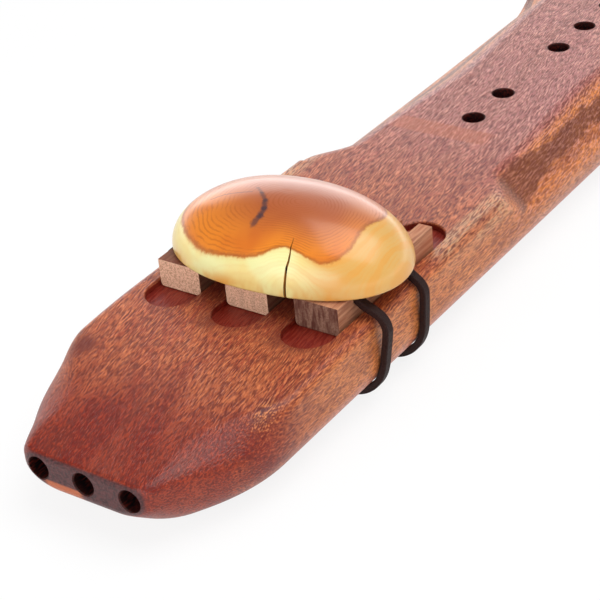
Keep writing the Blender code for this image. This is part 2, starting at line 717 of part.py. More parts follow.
if __name__ == "__main__":
    clear_scene()
    make_body(make_material("mahogany", (0.36, 0.12, 0.07), 0.38))
    sliding = make_blocks(make_material("walnut", (0.30, 0.17, 0.12), 0.55))
    sliding.append(make_cap(make_material("yew_slice", (0.80, 0.42, 0.12), 0.25)))
    sliding += make_lace(make_material("leather", (0.035, 0.020, 0.016), 0.55))
    join_to_slide(sliding)
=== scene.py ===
"""Finishes of a triple flute: a mahogany body, walnut blocks, a domed slice of yew and a leather lace.

X runs across the pipes, Y from the mouth end to the foot and Z up, in metres. The pieces are placed by the
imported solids, so each lies where its solid does. Marks in the wood are given in the same metres.
"""
import math

import bmesh
import bpy
from bpy.props import FloatProperty, FloatVectorProperty, PointerProperty
from mathutils import Matrix, Vector


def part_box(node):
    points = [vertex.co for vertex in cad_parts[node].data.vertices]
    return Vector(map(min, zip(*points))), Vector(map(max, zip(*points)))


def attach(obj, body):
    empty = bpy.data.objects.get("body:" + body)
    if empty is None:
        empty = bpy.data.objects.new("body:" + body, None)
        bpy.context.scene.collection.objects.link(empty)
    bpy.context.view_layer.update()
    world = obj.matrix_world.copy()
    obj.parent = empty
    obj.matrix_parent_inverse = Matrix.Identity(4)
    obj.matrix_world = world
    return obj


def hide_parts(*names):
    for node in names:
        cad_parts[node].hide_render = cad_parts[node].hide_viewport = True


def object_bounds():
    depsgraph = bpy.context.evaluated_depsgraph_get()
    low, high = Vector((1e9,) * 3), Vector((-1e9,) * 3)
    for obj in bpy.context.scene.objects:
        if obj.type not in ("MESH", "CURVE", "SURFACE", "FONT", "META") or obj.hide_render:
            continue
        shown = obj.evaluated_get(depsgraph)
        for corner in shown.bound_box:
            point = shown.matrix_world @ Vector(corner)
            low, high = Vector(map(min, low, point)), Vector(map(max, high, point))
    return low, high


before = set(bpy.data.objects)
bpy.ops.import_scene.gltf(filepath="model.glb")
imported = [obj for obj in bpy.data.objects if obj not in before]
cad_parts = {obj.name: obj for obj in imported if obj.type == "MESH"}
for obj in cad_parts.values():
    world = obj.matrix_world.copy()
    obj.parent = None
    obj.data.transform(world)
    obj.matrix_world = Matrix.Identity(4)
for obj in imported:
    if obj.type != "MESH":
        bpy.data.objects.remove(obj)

bl_info = {
    "name": "Triple Flute Finishes",
    "version": (1, 0, 0),
    "blender": (4, 5, 0),
    "location": "3D View > Sidebar > Flute",
    "description": "Builds the finished pieces of a triple flute and a plain studio",
    "category": "Object",
}

CAD_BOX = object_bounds()
TOP_LOW, TOP_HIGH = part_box("body_top_board")
BOTTOM_LOW, BOTTOM_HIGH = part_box("body_bottom_board")
BLOCK_LOW, BLOCK_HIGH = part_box("block_middle")
SIDE_BLOCK_LOW, SIDE_BLOCK_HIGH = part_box("block_right")
SLICE_LOW, SLICE_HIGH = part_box("slice_cap")

# Body
MOUTH_Y = TOP_LOW.y
FOOT_Y = TOP_HIGH.y
BODY_LENGTH = FOOT_Y - MOUTH_Y
HALF_WIDTH = TOP_HIGH.x
BODY_TOP = TOP_HIGH.z
GLUE_Z = BOTTOM_HIGH.z
TOP_BOARD = BODY_TOP - GLUE_Z
BOTTOM_BOARD = GLUE_Z - BOTTOM_LOW.z
FOOT_EDGE = 0.0008
MOUTH_CORNER = 0.0035
MOUTH_LIP = 0.0020
SHOULDER_BLEND = 0.0021
SHOULDER_LEAN_LENGTH = 0.0558
SLOPE_BLEND = 0.0022
UNDER_SLOPE_BLEND = 0.0010
UNDER_ROUND_SHARE = 1.75
TAPER_RUN_OUT = 0.042
SIDE_ROUND_LIMIT = 0.6
EDGE_ROUND_LIMIT = 0.8
CORNER_REST = 1.86
HOLLOW_RIM_LEFT = 0.196
HOLLOW_SPREAD = 0.0065
HOLLOW_SPREAD_RUN = 0.090
HOLLOW_FOOT_MARGIN = 0.024
GRAIN_SLANT = 0.12

# Pipes and windways
PIPE_SIDES = (-1, 0, 1)
PIPE_PITCH = (SIDE_BLOCK_LOW.x + SIDE_BLOCK_HIGH.x) / 2
BORE_DIAMETER = 0.017
BREATH_LENGTH = 0.014
AIRWAY_FLARE = 0.022
AIRWAY_SHIFT = 0.050
NEST_DEPTH = 0.0027
NEST_FLOOR = BODY_TOP - NEST_DEPTH
NEST_FREE = 0.0145
NEST_START = BLOCK_LOW.y - NEST_FREE
NEST_END = BLOCK_HIGH.y + NEST_FREE
NEST_SIDE_CLEARANCE = 0.0006
CHIMNEY_DEPTH = 0.0065
FLUE_WIDTH = 0.0068
FLUE_DEPTH = 0.0009
FLUE_LENGTH = 0.024
EXIT_HOLE_LENGTH = 0.008
SOUND_HOLE_LENGTH = 0.0048
EDGE_DROP = 0.0005
EDGE_RAMP = 0.006
FIRST_HOLE_FROM_SOUND_HOLE = 0.1006
FINGER_HOLE_PLACES = (0, 1, 3, 4, 5)
SOUND_HOLE_Y = BLOCK_HIGH.y - CHIMNEY_DEPTH
SOUND_HOLE_BACK_Y = SOUND_HOLE_Y + SOUND_HOLE_LENGTH
FLUE_Y = SOUND_HOLE_Y - FLUE_LENGTH
CUT_PAST = 0.001
RIM_EASE = 0.0004

# Tones of the body, some of them painted shade, sheen, highlight and reflection; each pair is where a tone
# has not begun and where it is full
# Painted shade: darker, deeper red on the nose towards the mouth
MOUTH_SHADE_Y = (MOUTH_Y + 0.086, MOUTH_Y + 0.046)
# Painted sheen: pinker towards the foot
SHEEN_Y = (-0.050, 0.050)
GOLD_X = (0.0385, 0.0425)
GOLD_Y = (MOUTH_Y + 0.034, MOUTH_Y + 0.084)
GOLD_DEPTH = (0.0003, 0.0032)
# Painted reflection of the floor: pinker low on the sides
FLOOR_SHEEN_DEPTH = (0.0175, 0.0235)
# Painted reflection: an orange band across the top where the slice takes away the pink sheen
SLICE_REFLECTION_X = ((-0.0290, -0.0240), (0.0175, 0.0125))
SLICE_REFLECTION_Y = ((0.0205, 0.0225), (0.0325, 0.0305))
# Pale streaks on the upper edges, with a painted highlight where they meet the crests of the hand hollows
SILVER_X = (0.0350, 0.0385)
SILVER_Y = ((-0.0660, -0.0520), (-0.0030, -0.0130))
SILVER_DEPTH = (0.0100, 0.0030)
# Painted shade on the floors and walls of the nests
NEST_SHADE_X = (0.0390, 0.0385)
NEST_SHADE_Y = ((NEST_START - 0.001, NEST_START), (NEST_END + 0.001, NEST_END))
NEST_SHADE_DEPTH = (0.0007, 0.0010)
# Mouth face: end grain, made darker as painted shade
MOUTH_FACE_Y = (MOUTH_Y + 0.0012, MOUTH_Y + 0.0004)
PATCH_X = ((-0.0175, -0.0145), (0.0, -0.0030))
PATCH_Z = (GLUE_Z - 0.0030, GLUE_Z - 0.0040)
BORE_RIM_DEPTH = (0.0030, 0.0004)

# Tones of the hand hollows, from where these start: a painted highlight on the lip, and a dark band in the
# scoop that is a grain streak and painted shadow; a pair of depths holds at the two ends of its run
HOLLOW_TONE_START = (0.012, 0.020)
HOLLOW_GOLD_REACH = 0.012
HOLLOW_LIP_RUN, HOLLOW_LIP_DEPTH = (0.020, 0.110), (0.0012, 0.0042)
SCOOP_FOOT_RUN, SCOOP_FOOT_DEPTH = (0.026, 0.040), (0.0100, 0.0068)

# Stains on the top, darker patches at the nest fronts and painted shadows between the blocks: middle across
# and along, reach across and along, and weight
SPECKLED_STAIN = (0.0390, -0.1590, 0.0036, 0.0066, 0.45)
# Where the darker patches at the front ends of the nests lie
NEST_FRONT_PATCH = NEST_START + 0.0085
DARK_STAINS_AND_SHADOWS = ((-PIPE_PITCH, NEST_FRONT_PATCH, 0.0105, 0.0095, 0.50),
               (0.0, NEST_FRONT_PATCH, 0.0125, 0.0115, 0.85),
               (PIPE_PITCH, NEST_FRONT_PATCH, 0.0125, 0.0115, 0.85),
               # Painted shadows on the top between the blocks, under the slice
               (-PIPE_PITCH / 2, -0.0830, 0.0110, 0.0390, 1.00),
               (PIPE_PITCH / 2, -0.0830, 0.0110, 0.0390, 1.00),
               (-0.0368, -0.1565, 0.0052, 0.0062, 0.75),
               (-0.0180, -0.1640, 0.0010, 0.0080, 0.50),
               (0.0010, -0.1720, 0.0009, 0.0090, 0.40),
               (-0.0240, -0.1560, 0.0010, 0.0070, 0.45),
               (0.0215, -0.1265, 0.0040, 0.0060, 0.50),
               (-0.0060, -0.1280, 0.0045, 0.0055, 0.45))
STAIN_AND_SHADOW_RAGGEDNESS = 2.4
STAIN_AND_SHADOW_EDGE = (1.2, 0.3)

# Blocks, from the left one to the right one: least and most saw burn, and painted shade on the long grain
BLOCK_WIDTH = BLOCK_HIGH.x - BLOCK_LOW.x
BLOCK_TOP = BLOCK_HIGH.z
BURNS = ((0.0, 0.06), (0.0, 0.16), (0.72, 0.97))
SHADED = (0.65, 0.65, 0.0)
GRAIN_SHIFT = 3.7
END_GRAIN_FACING = (0.6, 0.8)

# Slice of branch; a wave is its count round the rim, its share of the reach and its start
SLICE_WIDTH = 0.0895
SLICE_DEPTH = 0.0616
SLICE_MIDDLE = Vector((0.0028, BLOCK_LOW.y + 0.0249))
SLICE_BASE = SLICE_LOW.z
SLICE_TOP = SLICE_HIGH.z
SLICE_RIM = 0.0012
SLICE_WAVES = ((2, 0.030, -0.57), (3, 0.012, 0.96), (4, 0.015, 2.74))
PITH = Vector((0.0108, -0.0920))

# Edge of the heartwood, as a share of the way to the rim; a swell is a direction, a width and a rise
HEART_REACH = 0.885
HEART_MEAN = 0.86
HEART_SWELLS = ((-116, 16, 0.055), (-68, 14, -0.115), (-48, 9, 0.020), (1, 34, -0.200))
HEART_WAVES, HEART_WAVE_RISE = 7, 0.008
BROAD_RINGS = 6.5
# Painted sheen: a greyer, pinker heart on the far slope of the slice
HEART_SHEEN_Y = (-0.1000, -0.0800)
WARM_SAP_X = (0.016, 0.036)
RIM_BARK_Z = (SLICE_BASE + 0.0065, SLICE_BASE + 0.0006)

# Dark streaks near the pith: start and end in plan, width, raggedness and weight
SLICE_MARKS = (((-0.0087, -0.0896), (-0.0051, -0.0924), 0.0012, 0.0010, 0.45),
               ((-0.0051, -0.0924), (-0.0012, -0.0961), 0.0017, 0.0012, 0.60),
               ((-0.0012, -0.0961), (0.0007, -0.0996), 0.0022, 0.0014, 0.75),
               ((0.0007, -0.0996), (0.0011, -0.1026), 0.0024, 0.0016, 0.75),
               ((0.0011, -0.1026), (0.0004, -0.1059), 0.0026, 0.0018, 0.70),
               ((-0.0235, -0.0974), (-0.0190, -0.0951), 0.0006, 0.0004, 0.40),
               ((-0.0190, -0.0951), (-0.0091, -0.0926), 0.0006, 0.0004, 0.45))
MARK_EDGE = (0.15, 0.70)

# Drying crack; half of it, as a share of its width at the rim, is tip + opening * way ** flare
CRACK_TO_RIGHT = 0.0142
CRACK_FROM_MIDDLE = 0.0174
CRACK_PAST_RIM = 0.004
CRACK_BOW = 0.0016
CRACK_BOW_SHIFT = 0.25
CRACK_RAG = 0.00015
CRACK_RAG_WAVES = 23
CRACK_TIP, CRACK_OPENING, CRACK_FLARE = 0.06, 0.44, 0.7

# Lace
SEAT_GAP = 0.0003
LACE_FROM_BLOCK_FRONT = 0.0115
LACE_SPACING = 0.0256
LACE_EDGE_EASE = 0.0010
FRONT_BULGE, REAR_BULGE = 0.0020, 0.0008
BULGE_TOP, BULGE_RUN_DOWN = 0.0385, 0.0060
BULGE_FOOT, BULGE_RUN_UP = 0.0130, 0.0185
BIGHT_RADIUS = 0.0025
UNDER_DRAW = 0.045
KNOT_WIDTH = 0.0105
KNOT_HEIGHT = 0.0085
KNOT_DEPTH = 0.0066
KNOT_OPENING = 0.366
TAIL_SHAPE = ((-0.20, 0.40, -0.35), (-0.28, 0.68, -0.6), (-0.18, 0.93, -1.0), (-0.1, 1.08, -1.35),
              (-0.05, 1.17, -1.7))
TAIL_SPREAD = 0.0050
LACE_STEP = 0.0012
LACE_LUMPS = 140.0
LACE_SEED = 1.0

# Distances under which points are one, or lie on a block's face
WELD = 0.000001
TOUCHING = 0.0001

# Facets
CREASE_ANGLE = 35.0
FACE_WEIGHT = 80
MOUTH_LIP_STEPS = 8
MOUTH_CORNER_STEPS = 16
TAPER_STEPS = 84
HOLLOW_RUN_STEPS = 26
HOLLOW_SPREAD_STEPS = 9
FOOT_EDGE_STEPS = 4
EDGE_STEPS = 60
UNDER_STEPS = 30
PIPE_STEPS = 48
AIRWAY_STEPS = 20
HOLE_STEPS = 48
BLOCK_CORNER_SEGMENTS = 5
BLOCK_EDGE_SEGMENTS = 3
BLOCK_EDGE_ANGLE = 50
SLICE_STEPS = 192
SLICE_RIM_STEPS = 7
SLICE_ROWS = 44
CRACK_STEPS = 12
GROOVE_STEPS = 4
LEDGE_STEPS = 8
SHOULDER_STEPS = 14
LACE_CORNER_STEPS = 4
BIGHT_STEPS = 14
KNOT_STEPS = 40
SPLINE_STEPS = 4

# Stage: a reflection band is its low and high edge and its brightness there; a lamp has place and size
FLOOR_SIZE = 6.0
FLOOR_SQUARES = 8
FLOOR_ROUGHNESS = 0.9
FLOOR_SPECULAR = 0.1
FLOOR_WHITE = 0.86
WHITE = (1.0, 1.0, 1.0)
GLOSS_BANDS = ((0.02, 0.16, 2.6, 0.0), (0.15, 0.50, 0.55, 0.10))
LAMP_AIM = (0.0, -0.05, 0.03)
LAMPS = (("overhead", (0.30, 0.15, 1.1), (1.0, 1.0)), ("front", (0.10, -1.3, 0.55), (1.2, 0.7)),
         ("back", (-0.85, 1.15, 0.46), (1.6, 0.7)))
SENSOR_WIDTH = 36.0
NEAREST_SEEN, FARTHEST_SEEN = 0.05, 50.0

# Camera, as solved from the photograph's straight edges and hole rims
CAMERA_PLACE = Vector((0.3372, -0.5293, BODY_TOP + 0.3288))
CAMERA_RIGHT = Vector((0.824835, 0.558988, -0.084730))
CAMERA_UP = Vector((-0.235391, 0.475798, 0.847471))


def smooth_step(value):
    """0 up to 0 and 1 from 1 on, with a smooth change between."""
    value = min(max(value, 0.0), 1.0)
    return value * value * (3 - 2 * value)


def soft_min(first, second, blend):
    """The smaller of two values, with the corner between them rounded over by blend."""
    overlap = max(blend * 4 - abs(first - second), 0.0) / (blend * 4)
    return min(first, second) - overlap * overlap * blend


def end_inset(distance, radius):
    """How far a rounded end draws its outline in, at a distance from the end face."""
    if distance >= radius:
        return 0.0
    return radius - math.sqrt(radius * radius - (radius - distance) ** 2)


def quarter_turns(steps):
    """Angles of a quarter turn in even steps, both ends included."""
    return [math.pi / 2 * step / steps for step in range(steps + 1)]


def skin_object(name, stacks, material):
    """One mesh of closed skins, each through a stack of rings with the same number of points."""
    shell = bmesh.new()
    for rings in stacks:
        rows = [[shell.verts.new(point) for point in ring] for ring in rings]
        count = len(rows[0])
        for low, high in zip(rows, rows[1:]):
            for index in range(count):
                after = (index + 1) % count
                shell.faces.new((low[index], low[after], high[after], high[index]))
        shell.faces.new(rows[0])
        shell.faces.new(rows[-1])
    bmesh.ops.recalc_face_normals(shell, faces=shell.faces)
    mesh = bpy.data.meshes.new(name)
    shell.to_mesh(mesh)
    shell.free()
    mesh.materials.append(material)
    item = bpy.data.objects.new(name, mesh)
    bpy.context.scene.collection.objects.link(item)
    return item


def bake(item):
    """Turns an object's modifiers into its own mesh."""
    graph = bpy.context.evaluated_depsgraph_get()
    mesh = bpy.data.meshes.new_from_object(item.evaluated_get(graph), preserve_all_data_layers=True,
                                           depsgraph=graph)
    item.modifiers.clear()
    item.data = mesh


def carve(item, *cutters):
    """Cuts shapes away; a cut face takes its cutter's material."""
    for cutter in cutters:
        modifier = item.modifiers.new(cutter.name, 'BOOLEAN')
        modifier.operation = 'DIFFERENCE'
        modifier.solver = 'EXACT'
        modifier.material_mode = 'TRANSFER'
        modifier.object = cutter
    bake(item)


def discard(*items):
    """Removes the shapes that were only there to cut with."""
    for item in items:
        bpy.data.objects.remove(item, do_unlink=True)


def smooth(item):
    """Smooth shading between creases, with flat faces kept flat."""
    item.data.shade_smooth()
    item.data.set_sharp_from_angle(angle=math.radians(CREASE_ANGLE))
    modifier = item.modifiers.new("even_normals", 'WEIGHTED_NORMAL')
    modifier.keep_sharp = True
    modifier.weight = FACE_WEIGHT
    bake(item)


def finish_piece(item, slot, body, *nodes):
    """Ties a piece to its body and the solids that it stands for; slot is not used."""
    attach(item, body)
    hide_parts(*nodes)


class NodeTree:
    """Adds nodes to one shader tree and joins them."""

    def __init__(self, tree):
        self.tree = tree

    def node(self, kind, **settings):
        node = self.tree.nodes.new(kind)
        for name, value in settings.items():
            setattr(node, name, value)
        return node

    def feed(self, socket, value):
        """Links an output to a socket, or sets the socket's own number or colour."""
        if isinstance(value, bpy.types.NodeSocket):
            self.tree.links.new(value, socket)
        elif isinstance(value, (int, float)):
            socket.default_value = value
        elif len(value) == 3 and socket.type == 'RGBA':
            socket.default_value = (*value, 1.0)
        else:
            socket.default_value = value

    def split(self, vector):
        node = self.node('ShaderNodeSeparateXYZ')
        self.feed(node.inputs[0], vector)
        return node.outputs

    def math(self, operation, first, second=0.0):
        node = self.node('ShaderNodeMath', operation=operation)
        self.feed(node.inputs[0], first)
        self.feed(node.inputs[1], second)
        return node.outputs[0]

    def plus(self, first, second):
        return self.math('ADD', first, second)

    def minus(self, first, second):
        return self.math('SUBTRACT', first, second)

    def times(self, product, *values):
        for value in values:
            product = self.math('MULTIPLY', product, value)
        return product

    def step(self, value, low, high, start=0.0, end=1.0):
        """Smooth change from start to end as value goes from low to high."""
        node = self.node('ShaderNodeMapRange', interpolation_type='SMOOTHSTEP')
        self.feed(node.inputs["Value"], value)
        for name, number in (("From Min", low), ("From Max", high), ("To Min", start), ("To Max", end)):
            node.inputs[name].default_value = number
        return node.outputs["Result"]

    def window(self, value, rise, fall):
        """1 between two limits and 0 beyond them, with a smooth change over each pair of values."""
        return self.times(self.step(value, *rise), self.step(value, *fall))

    def between(self, share, first, second):
        """A number that goes from first to second with share."""
        node = self.node('ShaderNodeMix', data_type='FLOAT')
        for socket, value in zip((node.inputs[0], node.inputs[2], node.inputs[3]), (share, first, second)):
            self.feed(socket, value)
        return node.outputs[0]


class Recipe(NodeTree):
    """Builds one material from shader nodes."""

    def __init__(self, name):
        self.material = bpy.data.materials.new(name)
        self.material.use_nodes = True
        super().__init__(self.material.node_tree)
        self.shader = self.tree.nodes["Principled BSDF"]
        self.place = self.node('ShaderNodeTexCoord').outputs["Object"]
        self.x, self.y, self.z = self.split(self.place)

    def vector(self, operation, first, second=(0.0, 0.0, 0.0)):
        """Vector math; a length or a dot product comes back as a number."""
        node = self.node('ShaderNodeVectorMath', operation=operation)
        self.feed(node.inputs[0], first)
        self.feed(node.inputs[1], second)
        return node.outputs["Value" if operation in ('LENGTH', 'DOT_PRODUCT') else "Vector"]

    def noise(self, scale, detail=2.0, roughness=0.5, place=None, offset=0.0):
        """Noise with its own number of spots to the metre along each axis."""
        node = self.node('ShaderNodeTexNoise')
        for name, number in (("Scale", 1.0), ("Detail", detail), ("Roughness", roughness)):
            node.inputs[name].default_value = number
        scaled = self.vector('MULTIPLY', place or self.place, scale)
        self.feed(node.inputs["Vector"], self.vector('ADD', scaled, (offset, offset, offset)))
        return node.outputs["Fac"]

    def wander(self, noise, reach):
        """Noise as a shift that goes half of reach to each side."""
        return self.times(self.minus(noise, 0.5), reach)

    def mix(self, share, first, second):
        """A colour that goes from first to second with share."""
        node = self.node('ShaderNodeMix', data_type='RGBA')
        self.feed(node.inputs["Factor"], share)
        self.feed(node.inputs[6], first)
        self.feed(node.inputs[7], second)
        return node.outputs[2]

    def ring(self, value):
        """A wave from 0 to 1 for each unit of value."""
        wave = self.math('SINE', self.times(value, math.tau))
        return self.plus(self.times(wave, 0.5), 0.5)

    def attribute(self, name):
        return self.node('ShaderNodeAttribute', attribute_name=name).outputs["Fac"]

    def normal(self):
        return self.split(self.node('ShaderNodeNewGeometry').outputs["Normal"])

    def line(self, start, end, width, raggedness):
        """1 on a mark between two points in plan, 0 off it."""
        start, end = Vector((*start, 0.0)), Vector((*end, 0.0))
        run = end - start
        away = self.vector('SUBTRACT', self.vector('MULTIPLY', self.place, (1.0, 1.0, 0.0)), tuple(start))
        share = self.times(self.vector('DOT_PRODUCT', away, tuple(run)), 1 / run.length_squared)
        share = self.math('MAXIMUM', self.math('MINIMUM', share, 1.0), 0.0)
        nearest = self.node('ShaderNodeVectorMath', operation='SCALE')
        nearest.inputs[0].default_value = tuple(run)
        self.feed(nearest.inputs["Scale"], share)
        gap = self.vector('LENGTH', self.vector('SUBTRACT', away, nearest.outputs[0]))
        gap = self.plus(gap, self.wander(self.noise((700, 700, 700), 3), raggedness))
        inner, outer = MARK_EDGE
        return self.step(gap, width * inner, width * outer, 1.0, 0.0)

    def finish(self, colour, roughness, height, distance, coat=0.0, coat_roughness=0.1, specular=0.5):
        """Wires up the shader and returns the material."""
        self.feed(self.shader.inputs["Base Color"], colour)
        self.feed(self.shader.inputs["Roughness"], roughness)
        self.shader.inputs["Specular IOR Level"].default_value = specular
        self.shader.inputs["Coat Weight"].default_value = coat
        self.shader.inputs["Coat Roughness"].default_value = coat_roughness
        bump = self.node('ShaderNodeBump')
        bump.inputs["Distance"].default_value = distance
        self.feed(bump.inputs["Height"], height)
        self.feed(self.shader.inputs["Normal"], bump.outputs[0])
        return self.material


def mahogany(settings):
    """Interlocked red wood: short pores along the pipes, gold on the sides, deep red to the mouth (painted
    shade), with painted sheen, highlights, shadows and reflections.
    """
    wood = Recipe("mahogany")
    sway = wood.node('ShaderNodeCombineXYZ')
    wood.feed(sway.inputs[0], wood.plus(wood.wander(wood.noise((16, 7, 16)), 0.012),
                                        wood.times(wood.y, GRAIN_SLANT)))
    place = wood.vector('ADD', wood.place, sway.outputs[0])
    pore_and_shadow = wood.noise((1950, 230, 1950), 1, 0.5, place)
    fine = wood.noise((3400, 480, 3400), 2, 0.6, place, 3.1)
    fleck = wood.noise((2100, 220, 2100), 1, 0.5, place, 7.7)
    cloud = wood.noise((60, 20, 60), 3, 0.55, place)
    ribbon = wood.noise((260, 6, 260), 2, 0.5, place)
    streak = wood.noise((170, 16, 170), 2, 0.55, place, 1.7)
    mottle = wood.noise((210, 75, 210), 3, 0.6, place, 5.2)
    depth = wood.minus(BODY_TOP, wood.z)
    ragged = wood.plus(depth, wood.wander(mottle, 0.007))
    outward = wood.math('ABSOLUTE', wood.x)
    along = wood.minus(wood.y, MOUTH_Y + settings.hollow_start)
    inside = wood.step(along, *HOLLOW_TONE_START)

    # Top face, from deep red at the mouth as painted shade to rose at the foot as painted sheen, and gold
    # sides
    near = wood.step(wood.plus(wood.y, wood.times(cloud, 0.05)), *MOUTH_SHADE_Y)
    far = wood.times(wood.step(wood.y, *SHEEN_Y), 0.68)
    face = wood.mix(wood.step(cloud, 0.36, 0.66), settings.red, settings.orange)
    # Painted shade: deeper red towards the mouth
    face = wood.mix(near, face, wood.mix(wood.step(cloud, 0.40, 0.70), settings.deep, settings.red))
    # Painted sheen: rose towards the foot
    face = wood.mix(far, face, settings.sheen_rose)
    face = wood.mix(wood.step(ribbon, 0.44, 0.68, 0.0, 0.45), face, settings.dark)
    gold = wood.mix(wood.step(cloud, 0.40, 0.62), settings.gold, settings.tan)
    gold = wood.mix(wood.step(streak, 0.50, 0.70, 0.0, 0.55), gold, settings.dark)
    gold = wood.mix(wood.step(mottle, 0.50, 0.70, 0.0, 0.40), gold, settings.dark)
    # Painted reflection of the floor: pinker low on the sides
    gold = wood.mix(wood.step(depth, *FLOOR_SHEEN_DEPTH), gold, settings.floor_sheen)
    reach = wood.plus(outward, wood.times(inside, HOLLOW_GOLD_REACH))
    side = wood.times(wood.step(depth, *GOLD_DEPTH), wood.step(reach, *GOLD_X), wood.step(wood.y, *GOLD_Y))
    colour = wood.mix(side, face, gold)

    # Hand hollows with a painted highlight on the rim and a dark band of grain streak and painted shadow,
    # and pale streaks with a painted highlight on the upper edges
    under_lip = wood.minus(ragged, wood.step(along, *HOLLOW_LIP_RUN, *HOLLOW_LIP_DEPTH))
    # Painted highlight on the rim of the hollows
    rim = wood.times(inside, wood.step(depth, 0.0004, 0.0016), wood.step(under_lip, 0.0006, -0.0006))
    colour = wood.mix(wood.times(rim, 0.50), colour, settings.tan)
    over_foot = wood.minus(ragged, wood.step(along, *SCOOP_FOOT_RUN, *SCOOP_FOOT_DEPTH))
    # Dark band in the scoops: a grain streak and painted shadow
    scoop = wood.times(inside, wood.step(under_lip, -0.0006, 0.0008), wood.step(over_foot, 0.0015, 0.0))
    colour = wood.mix(wood.times(scoop, 0.70), colour, settings.scoop)
    # Pale streaks on the upper edges, with a painted highlight up to the hollows' crests
    silver_and_highlight = wood.times(wood.window(wood.y, *SILVER_Y), wood.step(outward, *SILVER_X),
                        wood.step(ragged, *SILVER_DEPTH), wood.step(streak, 0.36, 0.56, 0.30, 0.85))
    colour = wood.mix(silver_and_highlight, colour, settings.silver_and_highlight)

    # Light strokes and open pores, darker near the mouth as painted shade and pinker near the foot as
    # painted sheen, then stains and painted shadows, the nests' painted shade and the mouth face
    light = wood.mix(far, wood.mix(near, settings.flame, settings.shaded_ember), settings.sheen_petal)
    colour = wood.mix(wood.step(fleck, 0.49, 0.61, 0.0, 0.70), colour, light)
    open_pores = wood.times(wood.step(pore_and_shadow, 0.48, 0.58), wood.step(side, 0.0, 1.0, 0.82, 0.58))
    colour = wood.mix(open_pores, colour, settings.pore_and_shadow)
    colour = wood.mix(wood.step(fine, 0.52, 0.64, 0.0, 0.60), colour, settings.pore_and_shadow)
    colour = wood.mix(wood.step(fine, 0.48, 0.36, 0.0, 0.25), colour, light)
    # More of the scoops' dark band of grain streak and painted shadow
    colour = wood.mix(wood.times(scoop, 0.42), colour, settings.scoop)
    # Painted reflection: orange band across the top without the pink sheen
    band = wood.times(wood.window(wood.x, *SLICE_REFLECTION_X), wood.window(wood.y, *SLICE_REFLECTION_Y), 0.42)
    colour = wood.mix(band, colour, settings.orange)
    colour = stains_and_shadows(wood, settings, colour, pore_and_shadow, fleck)
    # Painted shade in the nests
    nest = wood.times(wood.step(depth, *NEST_SHADE_DEPTH), wood.step(outward, *NEST_SHADE_X),
                      wood.window(wood.y, *NEST_SHADE_Y))
    colour = wood.mix(nest, colour, wood.mix(wood.step(pore_and_shadow, 0.42, 0.58), settings.nest, settings.deep))
    # Mouth face, darkened as painted shade
    colour = wood.mix(wood.step(wood.y, *MOUTH_FACE_Y), colour, mouth_face(wood, settings))
    roughness = wood.step(fine, 0.35, 0.75, 0.34, 0.50)
    return wood.finish(colour, roughness, wood.minus(wood.times(fleck, 0.5), pore_and_shadow), 0.00020, specular=0.40)


def stains_and_shadows(wood, settings, colour, pore_and_shadow, fleck):
    """Adds the speckled stain, the dark streaks, the darker patches at the nest fronts and the painted
    shadows between the blocks to a colour.
    """
    spots = wood.mix(wood.step(fleck, 0.47, 0.58), settings.smoke, settings.tan)
    # The pore colour is also the colour of the painted shadows
    for (x, y, wide, long, weight), shade in ((SPECKLED_STAIN, spots),
                                              *((stain, settings.pore_and_shadow) for stain in DARK_STAINS_AND_SHADOWS)):
        offset = wood.vector('SUBTRACT', wood.place, (x, y, BODY_TOP))
        away = wood.vector('LENGTH', wood.vector('MULTIPLY', offset, (1 / wide, 1 / long, 0.0)))
        away = wood.plus(away, wood.wander(pore_and_shadow, STAIN_AND_SHADOW_RAGGEDNESS))
        colour = wood.mix(wood.step(away, *STAIN_AND_SHADOW_EDGE, 0.0, weight), colour, shade)
    return colour


def mouth_face(wood, settings):
    """Colour of the mouth's end grain, made darker as painted shade, with an orange patch low down left of
    the middle breath hole.
    """
    speck = wood.noise((1100, 1100, 1100), 3, 0.6)
    cut = wood.mix(wood.step(speck, 0.35, 0.65), settings.shaded_end_dark, settings.shaded_end_light)
    patch = wood.times(wood.step(wood.z, *PATCH_Z), wood.window(wood.x, *PATCH_X))
    return wood.mix(patch, cut, settings.orange)


def bored_wood(settings):
    """Walls of the bores and holes, which darken quickly away from the light."""
    wood = Recipe("bored_wood")
    grain = wood.noise((1500, 220, 1500), 2, 0.6)
    inward = wood.math('MINIMUM', wood.minus(wood.y, MOUTH_Y), wood.minus(BODY_TOP, wood.z))
    colour = wood.mix(wood.step(inward, *BORE_RIM_DEPTH), settings.bore, settings.bore_rim)
    colour = wood.mix(wood.step(grain, 0.45, 0.65, 0.0, 0.6), colour, settings.pore_and_shadow)
    return wood.finish(colour, 0.5, grain, 0.00008, specular=0.15)


